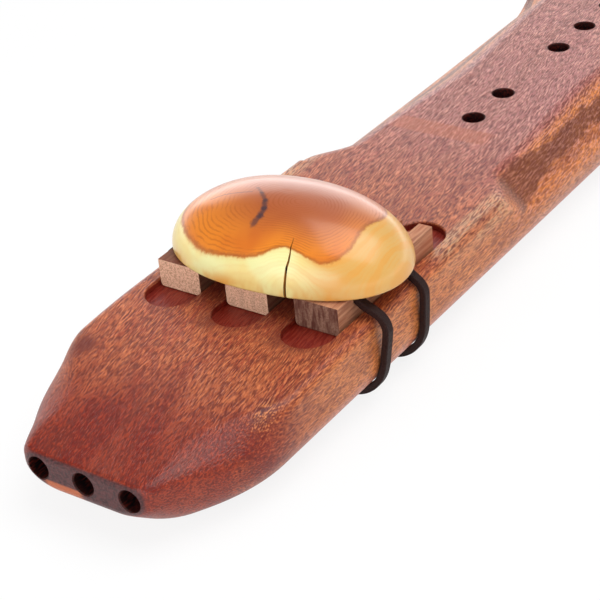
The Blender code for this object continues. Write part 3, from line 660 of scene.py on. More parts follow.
def walnut(settings, index):
    """Open-pored brown wood, pale and speckled on the sawn ends, with saw burn mostly on the right block and
    painted shade on the long grain of the left and middle blocks.
    """
    wood = Recipe(f"walnut_{index + 1}")
    shift = GRAIN_SHIFT * index
    streak = wood.noise((800, 60, 800), 3, 0.6, offset=shift)
    speck = wood.noise((1900, 1900, 1900), 3, 0.7, offset=shift)
    cloud = wood.noise((120, 20, 120), offset=shift)
    grain = wood.noise((620, 620, 130), 3, 0.6, offset=shift)
    along = wood.mix(wood.step(streak, 0.35, 0.65), settings.shade, settings.light)
    along = wood.mix(wood.step(cloud, 0.45, 0.7, 0.0, 0.6), along, settings.red)
    # Painted shade on the long grain of the left and middle blocks, in the burn colour
    along = wood.mix(SHADED[index], along, settings.burn)
    across = wood.mix(wood.step(speck, 0.34, 0.60), settings.speck, settings.end)
    across = wood.mix(wood.step(grain, 0.36, 0.66, *BURNS[index]), across, settings.burn)
    facing = wood.math('ABSOLUTE', wood.normal()[1])
    colour = wood.mix(wood.step(facing, *END_GRAIN_FACING), along, across)
    height = wood.plus(wood.times(speck, 0.6), streak)
    return wood.finish(colour, wood.step(speck, 0.3, 0.7, 0.55, 0.72), height, 0.00010, specular=0.3)


def yew(settings):
    """Polished slice: orange heart with fine rings, painted sheen on the heart's far slope, cream sapwood,
    bark tints on the rim.
    """
    wood = Recipe("yew_slice")
    grown = wood.plus(wood.attribute("grown"), wood.wander(wood.noise((160, 160, 60), 3, 0.55), 0.075))
    edge = wood.plus(wood.attribute("sap"), wood.wander(wood.noise((620, 620, 300), 3, 0.6), 0.035))
    line = wood.times(wood.step(wood.ring(wood.times(grown, settings.rings)), 0.45, 1.0),
                      wood.step(wood.noise((130, 130, 130), 3, offset=4.0), 0.36, 0.62))
    year = wood.noise((60, 60, 60))
    heart = wood.mix(wood.step(year, 0.35, 0.65), settings.heart, settings.heart_bright)
    heart = wood.mix(wood.step(grown, 0.30, 0.98, 0.88, 0.0), heart, settings.heart_brown)
    # Painted sheen on the far slope of the heart
    heart = wood.mix(wood.step(wood.y, *HEART_SHEEN_Y, 0.0, 0.55), heart, settings.heart_sheen)
    heart = wood.mix(wood.times(line, 0.36), heart, settings.heart_line)

    # Sapwood, warmer and with stronger rings on the right
    right = wood.step(wood.x, *WARM_SAP_X)
    broad = wood.step(wood.ring(wood.times(grown, BROAD_RINGS)), 0.35, 1.0)
    sap = wood.mix(wood.step(year, 0.4, 0.6), settings.sap, settings.sap_bright)
    sap = wood.mix(wood.times(right, 0.85), sap, settings.sap_warm)
    for rings, more_right, least in ((broad, 0.36, 0.10), (line, 0.24, 0.06)):
        share = wood.times(rings, wood.plus(wood.times(right, more_right), least))
        sap = wood.mix(share, sap, settings.bark)

    # Both woods with the dark border and the glow between them, the rim and the dark streaks
    colour = wood.mix(wood.step(edge, -0.006, 0.014), heart, sap)
    border = wood.times(wood.window(edge, (-0.034, -0.003), (0.016, -0.003)),
                        wood.step(year, 0.30, 0.55, 0.30, 1.0), 0.50)
    colour = wood.mix(border, colour, settings.border)
    glow = wood.times(wood.window(edge, (-0.010, 0.008), (0.030, 0.004)), 0.35)
    colour = wood.mix(glow, colour, settings.bark)
    streaks = wood.noise((110, 110, 60), 3, 0.6)
    bark = wood.times(wood.step(wood.z, *RIM_BARK_Z), wood.step(streaks, 0.38, 0.66, 0.10, 0.85))
    colour = wood.mix(bark, colour, settings.bark)
    for *run, weight in SLICE_MARKS:
        colour = wood.mix(wood.times(wood.line(*run), weight), colour, settings.stain)
    height = wood.plus(wood.times(line, 0.15), wood.times(streaks, 0.1))
    return wood.finish(colour, 0.32, height, 0.00005, coat=0.5, coat_roughness=0.21, specular=0.25)


def crack_wood(settings):
    """Dark walls of the drying crack, with some orange wood."""
    wood = Recipe("crack_wall")
    grain = wood.noise((900, 900, 120), 3, 0.6)
    colour = wood.mix(wood.step(grain, 0.35, 0.6), settings.crack, settings.bark)
    return wood.finish(colour, 0.7, grain, 0.0001)


def leather(settings):
    """Dark lace with a fine pebble, worn a little lighter on the ridges."""
    hide = Recipe("leather")
    pebble = hide.noise((2600, 2600, 2600), 3, 0.6)
    crease = hide.noise((700, 260, 700))
    colour = hide.mix(hide.step(pebble, 0.4, 0.7), settings.colour, settings.worn)
    height = hide.plus(pebble, hide.times(crease, 1.5))
    return hide.finish(colour, hide.step(pebble, 0.3, 0.7, 0.48, 0.66), height, 0.00018, specular=0.16)


def colour_setting(name, description, default):
    return FloatVectorProperty(name=name, description=description, default=default, subtype='COLOR',
                               size=3, min=0.0, max=1.0)


def length_setting(name, description, default):
    return FloatProperty(name=name, description=description, default=default, min=0.0,
                         subtype='DISTANCE', unit='LENGTH', precision=5)


class BodySettings(bpy.types.PropertyGroup):
    mouth_width: length_setting("Mouth width", "Width of the flat face at the mouth end", 0.0496)
    mouth_above: length_setting("Mouth above", "Height of the mouth face above the glue line", 0.0055)
    mouth_below: length_setting("Mouth below", "Height of the mouth face below the glue line", 0.0068)
    shoulder_length: length_setting("Shoulder length", "Length of the taper in plan", 0.0346)
    shoulder_lean: length_setting("Shoulder lean", "How far the sides of the nose lean in", 0.012)
    slope_length: length_setting("Slope length", "Length of the upper taper seen from the side", 0.045)
    under_slope: length_setting("Under slope", "Length of the lower taper seen from the side", 0.012)
    edge_radius: length_setting("Edge radius", "Rounding of the upper long edges", 0.0037)
    under_round: length_setting("Under round", "Width of the rounding of the lower long edges", 0.01425)
    hollow_start: length_setting("Hollow start", "Distance from the mouth to the hand hollows", 0.1858)
    hollow_run: length_setting("Hollow run", "Length of the scoop at each end of a hollow", 0.0252)
    hollow_width: length_setting("Hollow width", "How far a hollow reaches in from the side", 0.0175)
    hollow_dish: FloatProperty(name="Hollow dish", description="Depth of the dish, as a share",
                               default=0.035)
    breath_pitch: length_setting("Breath hole pitch", "Distance between the breath holes", 0.01846)
    breath_diameter: length_setting("Breath hole diameter", "Diameter of a breath hole", 0.0080)
    finger_diameter: length_setting("Finger hole diameter", "Diameter of a finger hole", 0.0087)
    finger_spacing: length_setting("Finger hole spacing", "Distance between finger holes", 0.0241)
    red: colour_setting("Red", "Main red of the wood", (0.36, 0.058, 0.024))
    orange: colour_setting("Orange", "Lighter wood", (0.46, 0.110, 0.036))
    flame: colour_setting("Flame", "Light strokes between the pores", (0.72, 0.225, 0.080))
    # Painted shade: darker strokes towards the mouth
    shaded_ember: colour_setting("Ember", "Light strokes towards the mouth", (0.40, 0.050, 0.016))
    # Painted sheen: pinker strokes towards the foot
    sheen_petal: colour_setting("Petal", "Light strokes towards the foot", (0.64, 0.330, 0.300))
    # Painted sheen towards the foot
    sheen_rose: colour_setting("Rose", "Pinker wood towards the foot", (0.38, 0.135, 0.140))
    # Painted reflection of the floor on the lower edges
    floor_sheen: colour_setting("Blush", "Pinker wood along the lower edges", (0.78, 0.290, 0.200))
    gold: colour_setting("Gold", "Wood on the sides and in the hollows", (0.66, 0.205, 0.045))
    # Also the painted highlight on the rims of the hollows
    tan: colour_setting("Tan", "Paler wood on the sides", (0.80, 0.295, 0.095))
    # Painted shade towards the mouth and in the nests
    deep: colour_setting("Deep", "Dark red towards the mouth", (0.175, 0.010, 0.005))
    dark: colour_setting("Dark", "Dark bands along the grain", (0.190, 0.035, 0.016))
    # Grain streak and painted shadow along the hollows
    scoop: colour_setting("Scoop", "Dark band along the hollows", (0.125, 0.028, 0.010))
    # Pale streaks with a painted highlight
    silver_and_highlight: colour_setting("Silver", "Pale streaks on the upper edges", (0.600, 0.350, 0.190))
    smoke: colour_setting("Smoke", "Dark flecks in the stains", (0.050, 0.020, 0.024))
    # Also the colour of the painted shadows between the blocks
    pore_and_shadow: colour_setting("Pore", "Open pores", (0.125, 0.014, 0.009))
    # Painted shade in the nests
    nest: colour_setting("Nest", "Floors and walls of the nests", (0.250, 0.028, 0.014))
    bore: colour_setting("Bore", "Walls deep inside the holes", (0.005, 0.003, 0.004))
    bore_rim: colour_setting("Bore rim", "Walls near the rims of the holes", (0.022, 0.006, 0.005))
    # Mouth face end grain, darkened as painted shade
    shaded_end_light: colour_setting("End light", "Lighter specks of the mouth face", (0.100, 0.022, 0.022))
    shaded_end_dark: colour_setting("End dark", "Darker specks of the mouth face", (0.036, 0.006, 0.007))


class BlockSettings(bpy.types.PropertyGroup):
    edge: length_setting("Edge", "Rounding of the sawn edges", 0.00045)
    corner: length_setting("Corner", "Rounding of the lower left edge", 0.0013)
    light: colour_setting("Light", "Light long grain", (0.56, 0.270, 0.150))
    shade: colour_setting("Shade", "Dark long grain", (0.34, 0.130, 0.070))
    red: colour_setting("Red", "Red cast in the long grain", (0.48, 0.130, 0.060))
    end: colour_setting("End", "Sawn end grain", (0.90, 0.560, 0.390))
    speck: colour_setting("Speck", "Pores in the end grain", (0.50, 0.255, 0.155))
    # Also the painted shade on the long grain of the left and middle blocks
    burn: colour_setting("Burn", "Saw burn on the end grain", (0.085, 0.018, 0.012))


class SliceSettings(bpy.types.PropertyGroup):
    rings: FloatProperty(name="Rings", description="Growth rings in the heartwood", default=25.0)
    crack_width: length_setting("Crack width", "Width of the drying crack at the rim", 0.0013)
    heart: colour_setting("Heart", "Heartwood", (0.68, 0.165, 0.014))
    heart_bright: colour_setting("Bright heart", "Brighter heartwood", (0.80, 0.240, 0.018))
    heart_line: colour_setting("Ring line", "Late wood of a ring", (0.34, 0.070, 0.012))
    heart_brown: colour_setting("Heart centre", "Browner wood round the pith", (0.38, 0.090, 0.028))
    # Painted sheen on the far slope
    heart_sheen: colour_setting("Grey heart", "Greyer heartwood on the far slope", (0.46, 0.200, 0.145))
    sap: colour_setting("Sapwood", "Sapwood", (0.88, 0.71, 0.26))
    sap_bright: colour_setting("Bright sapwood", "Brighter sapwood", (0.86, 0.83, 0.38))
    sap_warm: colour_setting("Warm sapwood", "Sapwood of the right side", (0.68, 0.34, 0.08))
    border: colour_setting("Border", "Line between heart and sapwood", (0.20, 0.060, 0.022))
    bark: colour_setting("Bark", "Orange tints under the bark", (0.76, 0.33, 0.050))
    stain: colour_setting("Stain", "Dark streak near the pith", (0.050, 0.032, 0.042))
    crack: colour_setting("Crack", "Walls of the crack", (0.030, 0.012, 0.006))


class LaceSettings(bpy.types.PropertyGroup):
    width: length_setting("Width", "Width of the lace", 0.0034)
    thickness: length_setting("Thickness", "Thickness of the lace", 0.0025)
    corner: length_setting("Corner", "Easing of the cut edges", 0.0004)
    unevenness: FloatProperty(name="Unevenness", description="Hand-cut variation, as a share", default=0.05,
                              min=0.0, max=0.2)
    colour: colour_setting("Colour", "Dark leather", (0.018, 0.0060, 0.0050))
    worn: colour_setting("Worn", "Leather where it has worn", (0.034, 0.013, 0.011))


class StageSettings(bpy.types.PropertyGroup):
    lens: FloatProperty(name="Lens", description="Focal length for a 36 mm sensor", default=111.34,
                        unit='CAMERA')
    floor: colour_setting("Floor", "Colour of the floor", (0.90, 0.90, 0.90))
    fill: FloatProperty(name="Fill", description="Strength of the light all round", default=0.42)
    key: FloatProperty(name="Key", description="Power of the overhead lamp, in watts", default=10.5)
    front: FloatProperty(name="Front", description="Power of the lamp in front, in watts", default=8.0)
    back: FloatProperty(name="Back", description="Power of the low lamp behind, in watts", default=6.0)


def half_width(size, distance):
    """Half the width of the body at a distance from the mouth."""
    mouth = size.mouth_width / 2
    taper = mouth + (HALF_WIDTH - mouth) * distance / size.shoulder_length
    width = soft_min(taper, HALF_WIDTH, SHOULDER_BLEND)
    width -= end_inset(distance, MOUTH_CORNER)
    return width - end_inset(BODY_LENGTH - distance, FOOT_EDGE)


def board_reach(distance, board, mouth, length, blend):
    """How far the outer face of a board lies from the glue line."""
    slope = mouth + (board - mouth) * distance / length
    reach = soft_min(slope, board, blend)
    reach -= end_inset(distance, MOUTH_LIP)
    return reach - end_inset(BODY_LENGTH - distance, FOOT_EDGE)


def hollow_depth(size, distance):
    """0 where the upper edge is whole and 1 where the hand hollow has its full depth."""
    entry = (distance - size.hollow_start) / size.hollow_run
    leave = (BODY_LENGTH - HOLLOW_FOOT_MARGIN - distance) / size.hollow_run
    return smooth_step(entry) * smooth_step(leave)


def hollow_width(size, distance):
    """How far the hand hollow reaches in from the side; it is widest half way along."""
    entry = (distance - size.hollow_start - size.hollow_run) / HOLLOW_SPREAD_RUN
    leave = (BODY_LENGTH - HOLLOW_FOOT_MARGIN - size.hollow_run - distance) / HOLLOW_SPREAD_RUN
    return size.hollow_width + HOLLOW_SPREAD * smooth_step(entry) * smooth_step(leave)


def corner_reach(angle, across, up, radius):
    """Distance from a pole to a rounded corner that lies across and up from it."""
    aim_x, aim_z = math.sin(angle), math.cos(angle)
    centre_x, centre_z = across - radius, up - radius
    if aim_x * up <= aim_z * centre_x:
        return up / aim_z
    if aim_z * across <= aim_x * centre_z:
        return across / aim_x
    along = aim_x * centre_x + aim_z * centre_z
    return along + math.sqrt(max(along ** 2 - centre_x ** 2 - centre_z ** 2 + radius ** 2, 0.0))


def upper_ring(size, distance):
    """Section of the upper board, from the right side over the top to the left side.

    Where a hand hollow is, a dished chord cuts across the rounded edge and leaves a thin rim.
    """
    half = half_width(size, distance)
    up = board_reach(distance, TOP_BOARD, size.mouth_above, size.slope_length, SLOPE_BLEND)
    depth = hollow_depth(size, distance)
    lean = size.shoulder_lean * math.sin(math.pi * min(distance / SHOULDER_LEAN_LENGTH, 1.0)) ** 2
    across = min(hollow_width(size, distance), SIDE_ROUND_LIMIT * half)
    radius = min(size.edge_radius, EDGE_ROUND_LIMIT * up)
    edge = []
    for step in range(EDGE_STEPS + 1):
        angle = math.pi / 2 * (1 - step / EDGE_STEPS)
        reach = corner_reach(angle, across, up, radius)
        lift = 1 + HOLLOW_RIM_LEFT * depth + (CORNER_REST - 1) * (1 - depth)
        lift -= size.hollow_dish * depth * math.sin(2 * angle)
        chord = lift / (math.sin(angle) / across + math.cos(angle) / up)
        reach = soft_min(reach, chord, FOOT_EDGE) if depth > 0 else reach
        rise = reach * math.cos(angle)
        edge.append((half - across + reach * math.sin(angle) - lean * (rise / up) ** 2, GLUE_Z + rise))
    outline = edge + [(-x, z) for x, z in reversed(edge)]
    return [(x, MOUTH_Y + distance, z) for x, z in outline]


def lower_ring(size, distance):
    """Section of the lower board, from the right side under the bottom to the left side."""
    half = half_width(size, distance)
    down = board_reach(distance, BOTTOM_BOARD, size.mouth_below, size.under_slope, UNDER_SLOPE_BLEND)
    under = min(size.under_round, UNDER_ROUND_SHARE * down, SIDE_ROUND_LIMIT * half)
    edge = []
    for angle in quarter_turns(UNDER_STEPS):
        edge.append((half - under + under * math.cos(angle), GLUE_Z - down * math.sin(angle)))
    outline = edge + [(-x, z) for x, z in reversed(edge)]
    return [(x, MOUTH_Y + distance, z) for x, z in outline]


def body_stations(size):
    """Where the cross-sections lie: close together only where the shape changes."""
    stations = [MOUTH_LIP * (1 - math.cos(turn)) for turn in quarter_turns(MOUTH_LIP_STEPS)]
    corner = [MOUTH_CORNER * step / MOUTH_CORNER_STEPS for step in range(1, MOUTH_CORNER_STEPS + 1)]
    stations += [distance for distance in corner if distance > MOUTH_LIP]
    taper = max(size.shoulder_length, size.slope_length) + TAPER_RUN_OUT - MOUTH_CORNER
    stations += [MOUTH_CORNER + taper * step / TAPER_STEPS for step in range(1, TAPER_STEPS + 1)]
    run = [size.hollow_run * step / HOLLOW_RUN_STEPS for step in range(HOLLOW_RUN_STEPS + 1)]
    run += [size.hollow_run + HOLLOW_SPREAD_RUN * step / HOLLOW_SPREAD_STEPS
            for step in range(1, HOLLOW_SPREAD_STEPS)]
    stations += [size.hollow_start + part for part in run]
    stations += [BODY_LENGTH - HOLLOW_FOOT_MARGIN - part for part in run]
    stations += [BODY_LENGTH - FOOT_EDGE * (1 - math.sin(turn)) for turn in quarter_turns(FOOT_EDGE_STEPS)]
    return sorted(set(stations))


def circle(centre_first, centre_second, radius, steps):
    """Points round a circle, which begin half a step past the first axis."""
    turn = math.tau / steps
    return [(centre_first + radius * math.cos((step + 0.5) * turn),
             centre_second + radius * math.sin((step + 0.5) * turn)) for step in range(steps)]


def pipe_stacks(size):
    """Breath holes that widen into slow air chambers, and the sound chambers behind them."""
    for side in PIPE_SIDES:
        stations = [-CUT_PAST, 0.0, RIM_EASE, BREATH_LENGTH]
        swing = max(AIRWAY_FLARE, AIRWAY_SHIFT)
        stations += [BREATH_LENGTH + swing * step / AIRWAY_STEPS for step in range(1, AIRWAY_STEPS + 1)]
        stations.append(FLUE_Y - MOUTH_Y)
        rings = []
        for distance in stations:
            flare = smooth_step((distance - BREATH_LENGTH) / AIRWAY_FLARE)
            shift = smooth_step((distance - BREATH_LENGTH) / AIRWAY_SHIFT)
            radius = (size.breath_diameter + (BORE_DIAMETER - size.breath_diameter) * flare) / 2
            radius += max(RIM_EASE - distance, 0.0)
            centre = side * (size.breath_pitch + (PIPE_PITCH - size.breath_pitch) * shift)
            rings.append([(x, MOUTH_Y + distance, z)
                          for x, z in circle(centre, GLUE_Z, radius, PIPE_STEPS)])
        yield rings
        middle, radius = side * PIPE_PITCH, BORE_DIAMETER / 2
        yield [[(x, y, z) for x, z in circle(middle, GLUE_Z, radius + ease, PIPE_STEPS)]
               for y, ease in ((SOUND_HOLE_Y, 0.0), (FOOT_Y - RIM_EASE, 0.0),
                               (FOOT_Y, RIM_EASE), (FOOT_Y + CUT_PAST, RIM_EASE + CUT_PAST))]


def rim_levels():
    """Heights near the body's top, with how far a rim is opened at each."""
    yield BODY_TOP - RIM_EASE, 0.0
    yield BODY_TOP, RIM_EASE
    yield BODY_TOP + CUT_PAST, RIM_EASE + CUT_PAST


def nest_stacks():
    """Round-ended nests with their rims eased."""
    steps = HOLE_STEPS // 2
    for side in PIPE_SIDES:
        radius = BLOCK_WIDTH / 2 + NEST_SIDE_CLEARANCE
        front, back = NEST_START + radius, NEST_END - radius
        rings = []
        for height, ease in ((NEST_FLOOR, 0.0), *rim_levels()):
            ring = []
            for step in range(2 * steps + 2):
                turn = math.pi * (step - (step > steps)) / steps
                centre = back if step <= steps else front
                ring.append((side * PIPE_PITCH + (radius + ease) * math.cos(turn),
                             centre + (radius + ease) * math.sin(turn), height))
            rings.append(ring)
        yield rings


def finger_stacks(size):
    """Finger holes into the middle pipe, with their rims eased."""
    radius = size.finger_diameter / 2
    for place in FINGER_HOLE_PLACES:
        middle = SOUND_HOLE_Y + FIRST_HOLE_FROM_SOUND_HOLE + place * size.finger_spacing
        yield [[(x, y, height) for x, y in circle(0.0, middle, radius + ease, HOLE_STEPS)]
               for height, ease in ((GLUE_Z + CUT_PAST, 0.0), *rim_levels())]


def box_stack(left, right, front, back, low, high):
    """Lower and upper outline of a straight box."""
    return [[(left, front, height), (right, front, height), (right, back, height), (left, back, height)]
            for height in (low, high)]


def windway_stacks():
    """Exit holes and sound holes through the nest floors."""
    for side in PIPE_SIDES:
        left, right = side * PIPE_PITCH - FLUE_WIDTH / 2, side * PIPE_PITCH + FLUE_WIDTH / 2
        for front, back in ((FLUE_Y - EXIT_HOLE_LENGTH, FLUE_Y), (SOUND_HOLE_Y, SOUND_HOLE_BACK_Y)):
            yield box_stack(left, right, front, back, GLUE_Z + CUT_PAST, NEST_FLOOR + CUT_PAST)


def flue_stacks():
    """Flues in the nest floors and the ramps behind the splitting edges."""
    for side in PIPE_SIDES:
        left, right = side * PIPE_PITCH - FLUE_WIDTH / 2, side * PIPE_PITCH + FLUE_WIDTH / 2
        yield box_stack(left, right, FLUE_Y - EXIT_HOLE_LENGTH / 2, SOUND_HOLE_Y + SOUND_HOLE_LENGTH / 4,
                        NEST_FLOOR - FLUE_DEPTH, NEST_FLOOR + CUT_PAST)
        ramp = [(SOUND_HOLE_BACK_Y - SOUND_HOLE_LENGTH / 4, NEST_FLOOR - EDGE_DROP),
                (SOUND_HOLE_BACK_Y, NEST_FLOOR - EDGE_DROP),
                (SOUND_HOLE_BACK_Y + EDGE_RAMP, NEST_FLOOR),
                (SOUND_HOLE_BACK_Y + EDGE_RAMP, NEST_FLOOR + CUT_PAST),
                (SOUND_HOLE_BACK_Y - SOUND_HOLE_LENGTH / 4, NEST_FLOOR + CUT_PAST)]
        yield [[(across, y, z) for y, z in ramp] for across in (left, right)]


class FLUTE_OT_body(bpy.types.Operator):
    """Builds the two boards of the body with their pipes, nests and holes"""
    bl_idname = "flute.body"
    bl_label = "Body"

    def execute(self, context):
        size = context.scene.flute_body
        stations = body_stations(size)
        wood, dark = mahogany(size), bored_wood(size)
        pipes = skin_object("pipes", pipe_stacks(size), dark)
        holes = skin_object("finger_holes", finger_stacks(size), dark)
        nests = skin_object("nests", nest_stacks(), wood)
        windways = skin_object("windways", windway_stacks(), dark)
        flues = skin_object("flues", flue_stacks(), wood)
        top = skin_object("upper_board", [[upper_ring(size, distance) for distance in stations]], wood)
        carve(top, pipes, holes, nests, windways, flues)
        bottom = skin_object("lower_board", [[lower_ring(size, distance) for distance in stations]], wood)
        carve(bottom, pipes)
        discard(pipes, holes, nests, windways, flues)
        for piece, node in ((top, "body_top_board"), (bottom, "body_bottom_board")):
            smooth(piece)
            finish_piece(piece, "mahogany", "body", node)
        return {'FINISHED'}


def groove_floor(lace):
    """Height of the lace grooves' floors, low enough for the lace to lie clear of the cap."""
    return BLOCK_TOP - lace.thickness - 2 * SEAT_GAP


def groove_stacks(lace, middle):
    """The two grooves across a block's top that the lace lies in, with eased ledges."""
    half, ease, floor = BLOCK_WIDTH / 2, LACE_EDGE_EASE, groove_floor(lace)
    reach = lace.width / 2 + SEAT_GAP
    right = [(half - ease + ease * math.sin(turn), floor - ease + ease * math.cos(turn))
             for turn in quarter_turns(GROOVE_STEPS)]
    right += [(half + ease, floor - ease), (half + ease, BLOCK_TOP + CUT_PAST)]
    profile = right + [(-x, z) for x, z in reversed(right)]
    for y in (lace_y(-1), lace_y(1)):
        yield [[(middle + x, y + turn * reach, z) for x, z in profile] for turn in (-1, 1)]


def block_piece(size, lace, name, side, material):
    """A sawn block with a chimney notch, two lace grooves and one softer edge."""
    half, notch = BLOCK_WIDTH / 2, FLUE_WIDTH / 2
    middle = side * PIPE_PITCH
    inner = BLOCK_HIGH.y - CHIMNEY_DEPTH
    outline = [(-half, BLOCK_LOW.y), (half, BLOCK_LOW.y), (half, BLOCK_HIGH.y), (notch, BLOCK_HIGH.y),
               (notch, inner), (-notch, inner), (-notch, BLOCK_HIGH.y), (-half, BLOCK_HIGH.y)]
    block = skin_object(name, [[[(middle + x, y, z) for x, y in outline]
                                for z in (BLOCK_LOW.z, BLOCK_TOP)]], material)
    shell = bmesh.new()
    shell.from_mesh(block.data)
    corner = [edge for edge in shell.edges
              if all(abs(vertex.co.x - middle + half) < TOUCHING and vertex.co.z < BLOCK_LOW.z + TOUCHING
                     for vertex in edge.verts)]
    bmesh.ops.bevel(shell, geom=corner, offset=size.corner, segments=BLOCK_CORNER_SEGMENTS, affect='EDGES',
                    profile=0.5)
    shell.to_mesh(block.data)
    shell.free()
    cutter = skin_object("grooves", groove_stacks(lace, middle), material)
    carve(block, cutter)
    discard(cutter)
    bevel = block.modifiers.new("sawn_edges", 'BEVEL')
    bevel.width = size.edge
    bevel.segments = BLOCK_EDGE_SEGMENTS
    bevel.limit_method = 'ANGLE'
    bevel.angle_limit = math.radians(BLOCK_EDGE_ANGLE)
    bake(block)
    smooth(block)
    return block


class FLUTE_OT_blocks(bpy.types.Operator):
    """Builds the three sawn blocks that stand in the nests"""
    bl_idname = "flute.blocks"
    bl_label = "Blocks"

    def execute(self, context):
        size, lace = context.scene.flute_block, context.scene.flute_lace
        for index, (name, side) in enumerate(zip(("left", "middle", "right"), PIPE_SIDES)):
            block = block_piece(size, lace, f"{name}_block", side, walnut(size, index))
            finish_piece(block, "walnut", "blocks", f"block_{name}")
        return {'FINISHED'}


def slice_outline(angle):
    """Reach of the branch slice from its middle, as a share of a plain oval."""
    return 1 + sum(share * math.cos(waves * angle + start) for waves, share, start in SLICE_WAVES)


def slice_ring(share, height, inset):
    """The slice's outline at a height, at a share of its full size and drawn in by an inset."""
    points = []
    for step in range(SLICE_STEPS):
        angle = math.tau * step / SLICE_STEPS
        reach = slice_outline(angle) * share
        points.append((SLICE_MIDDLE.x + (SLICE_WIDTH / 2 * reach - inset) * math.cos(angle),
                       SLICE_MIDDLE.y + (SLICE_DEPTH / 2 * reach - inset) * math.sin(angle), height))
    return points


def dome_rings():
    """Rings from the flat underside round the lower rim and up over the dome."""
    rings = []
    for step in range(SLICE_RIM_STEPS):
        turn = math.pi / 2 * (1 - step / SLICE_RIM_STEPS)
        rings.append(slice_ring(1.0, SLICE_BASE + SLICE_RIM * (1 - math.sin(turn)),
                                SLICE_RIM * (1 - math.cos(turn))))
    for step in range(SLICE_ROWS):
        angle = math.pi / 2 * step / SLICE_ROWS
        height = SLICE_BASE + SLICE_RIM + (SLICE_TOP - SLICE_BASE - SLICE_RIM) * math.sin(angle)
        rings.append(slice_ring(math.cos(angle), height, 0.0))
    return rings


def crack_outline(size):
    """Plan of the drying crack, which opens from its tip to past the front rim."""
    start = SLICE_MIDDLE.y - CRACK_FROM_MIDDLE
    end = SLICE_MIDDLE.y - SLICE_DEPTH / 2 - CRACK_PAST_RIM
    left, right = [], []
    for step in range(CRACK_STEPS + 1):
        share = step / CRACK_STEPS
        sway = CRACK_BOW * (math.sin(math.pi * share) - CRACK_BOW_SHIFT)
        sway += CRACK_RAG * math.sin(CRACK_RAG_WAVES * share + 1)
        wide = size.crack_width * (CRACK_TIP + CRACK_OPENING * share ** CRACK_FLARE)
        middle, y = SLICE_MIDDLE.x + CRACK_TO_RIGHT + sway, start + (end - start) * share
        left.append((middle - wide, y))
        right.append((middle + wide, y))
    return left + list(reversed(right))


def bump_at(angle, centre, width):
    """1 at a direction in degrees, falling away over a width to each side."""
    gap = (math.degrees(angle) - centre + 180) % 360 - 180
    return math.exp(-(gap / width) ** 2)


def heart_share(angle):
    """Where the heartwood ends, as a share of the way from the middle to the rim."""
    share = HEART_REACH
    for direction, width, rise in HEART_SWELLS:
        share += rise * bump_at(angle, direction, width)
    return share + HEART_WAVE_RISE * math.sin(HEART_WAVES * angle)


def growth(x, y):
    """How far a point in plan lies from the pith, 1 at the heartwood's edge, and how far past that edge."""
    half = Vector((SLICE_WIDTH / 2, SLICE_DEPTH / 2))
    local = Vector((x, y)) - SLICE_MIDDLE
    plain = Vector((local.x / half.x, local.y / half.y))
    angle = math.atan2(plain.y, plain.x)
    share = plain.length / slice_outline(angle)
    edge = heart_share(angle)
    offset = (PITH - SLICE_MIDDLE) * max(1 - share * share, 0.0)
    moved = Vector(((local.x - offset.x) / half.x, (local.y - offset.y) / half.y))
    grown = moved.length / slice_outline(math.atan2(moved.y, moved.x))
    limit = HEART_MEAN + (edge - HEART_MEAN) * smooth_step(share / HEART_MEAN)
    return grown / limit, share - edge


class FLUTE_OT_slice(bpy.types.Operator):
    """Builds the domed slice of branch with its drying crack"""
    bl_idname = "flute.slice"
    bl_label = "Wood slice"

    def execute(self, context):
        size = context.scene.flute_slice
        dome = skin_object("wood_slice", [dome_rings()], yew(size))
        walls = [[(x, y, z) for x, y in crack_outline(size)]
                 for z in (SLICE_BASE - CUT_PAST, SLICE_TOP + CUT_PAST)]
        crack = skin_object("crack", [walls], crack_wood(size))
        carve(dome, crack)
        discard(crack)
        smooth(dome)
        mesh = dome.data
        grown = mesh.attributes.new("grown", 'FLOAT', 'POINT')
        sap = mesh.attributes.new("sap", 'FLOAT', 'POINT')
        for index, vertex in enumerate(mesh.vertices):
            grown.data[index].value, sap.data[index].value = growth(vertex.co.x, vertex.co.y)
        finish_piece(dome, "yew_slice", "blocks", "slice_cap")
        return {'FINISHED'}


def lace_y(side):
    """Station of a strand, -1 for the one nearer the mouth."""
    return BLOCK_LOW.y + LACE_FROM_BLOCK_FRONT + LACE_SPACING * (side + 1) / 2


def arc(centre, reach, start, end, steps):
    """Points and outward directions round a corner: (across, height, outward x, outward z)."""
    items = []
    for step in range(steps + 1):
        turn = start + (end - start) * step / steps
        x, z = math.cos(turn), math.sin(turn)
        items.append((centre[0] + reach * x, centre[1] + reach * z, x, z))
    return items


def tangent_turn(first, first_reach, second, second_reach):
    """Direction from two corners' centres to where a taut lace leaves one for the other."""
    gap = Vector(second) - Vector(first)
    lean = math.asin((first_reach - second_reach) / gap.length)
    return math.atan2(gap.y, gap.x) + math.pi / 2 - lean


def under_item(body, offset, cosine, sine):
    """Where the lace lies on the lower rounding of the right side."""
    wide, tall = body.under_round + offset, BOTTOM_BOARD + offset
    outward = Vector((cosine / wide, -sine / tall)).normalized()
    return (HALF_WIDTH - body.under_round + wide * cosine, GLUE_Z - tall * sine, *outward)


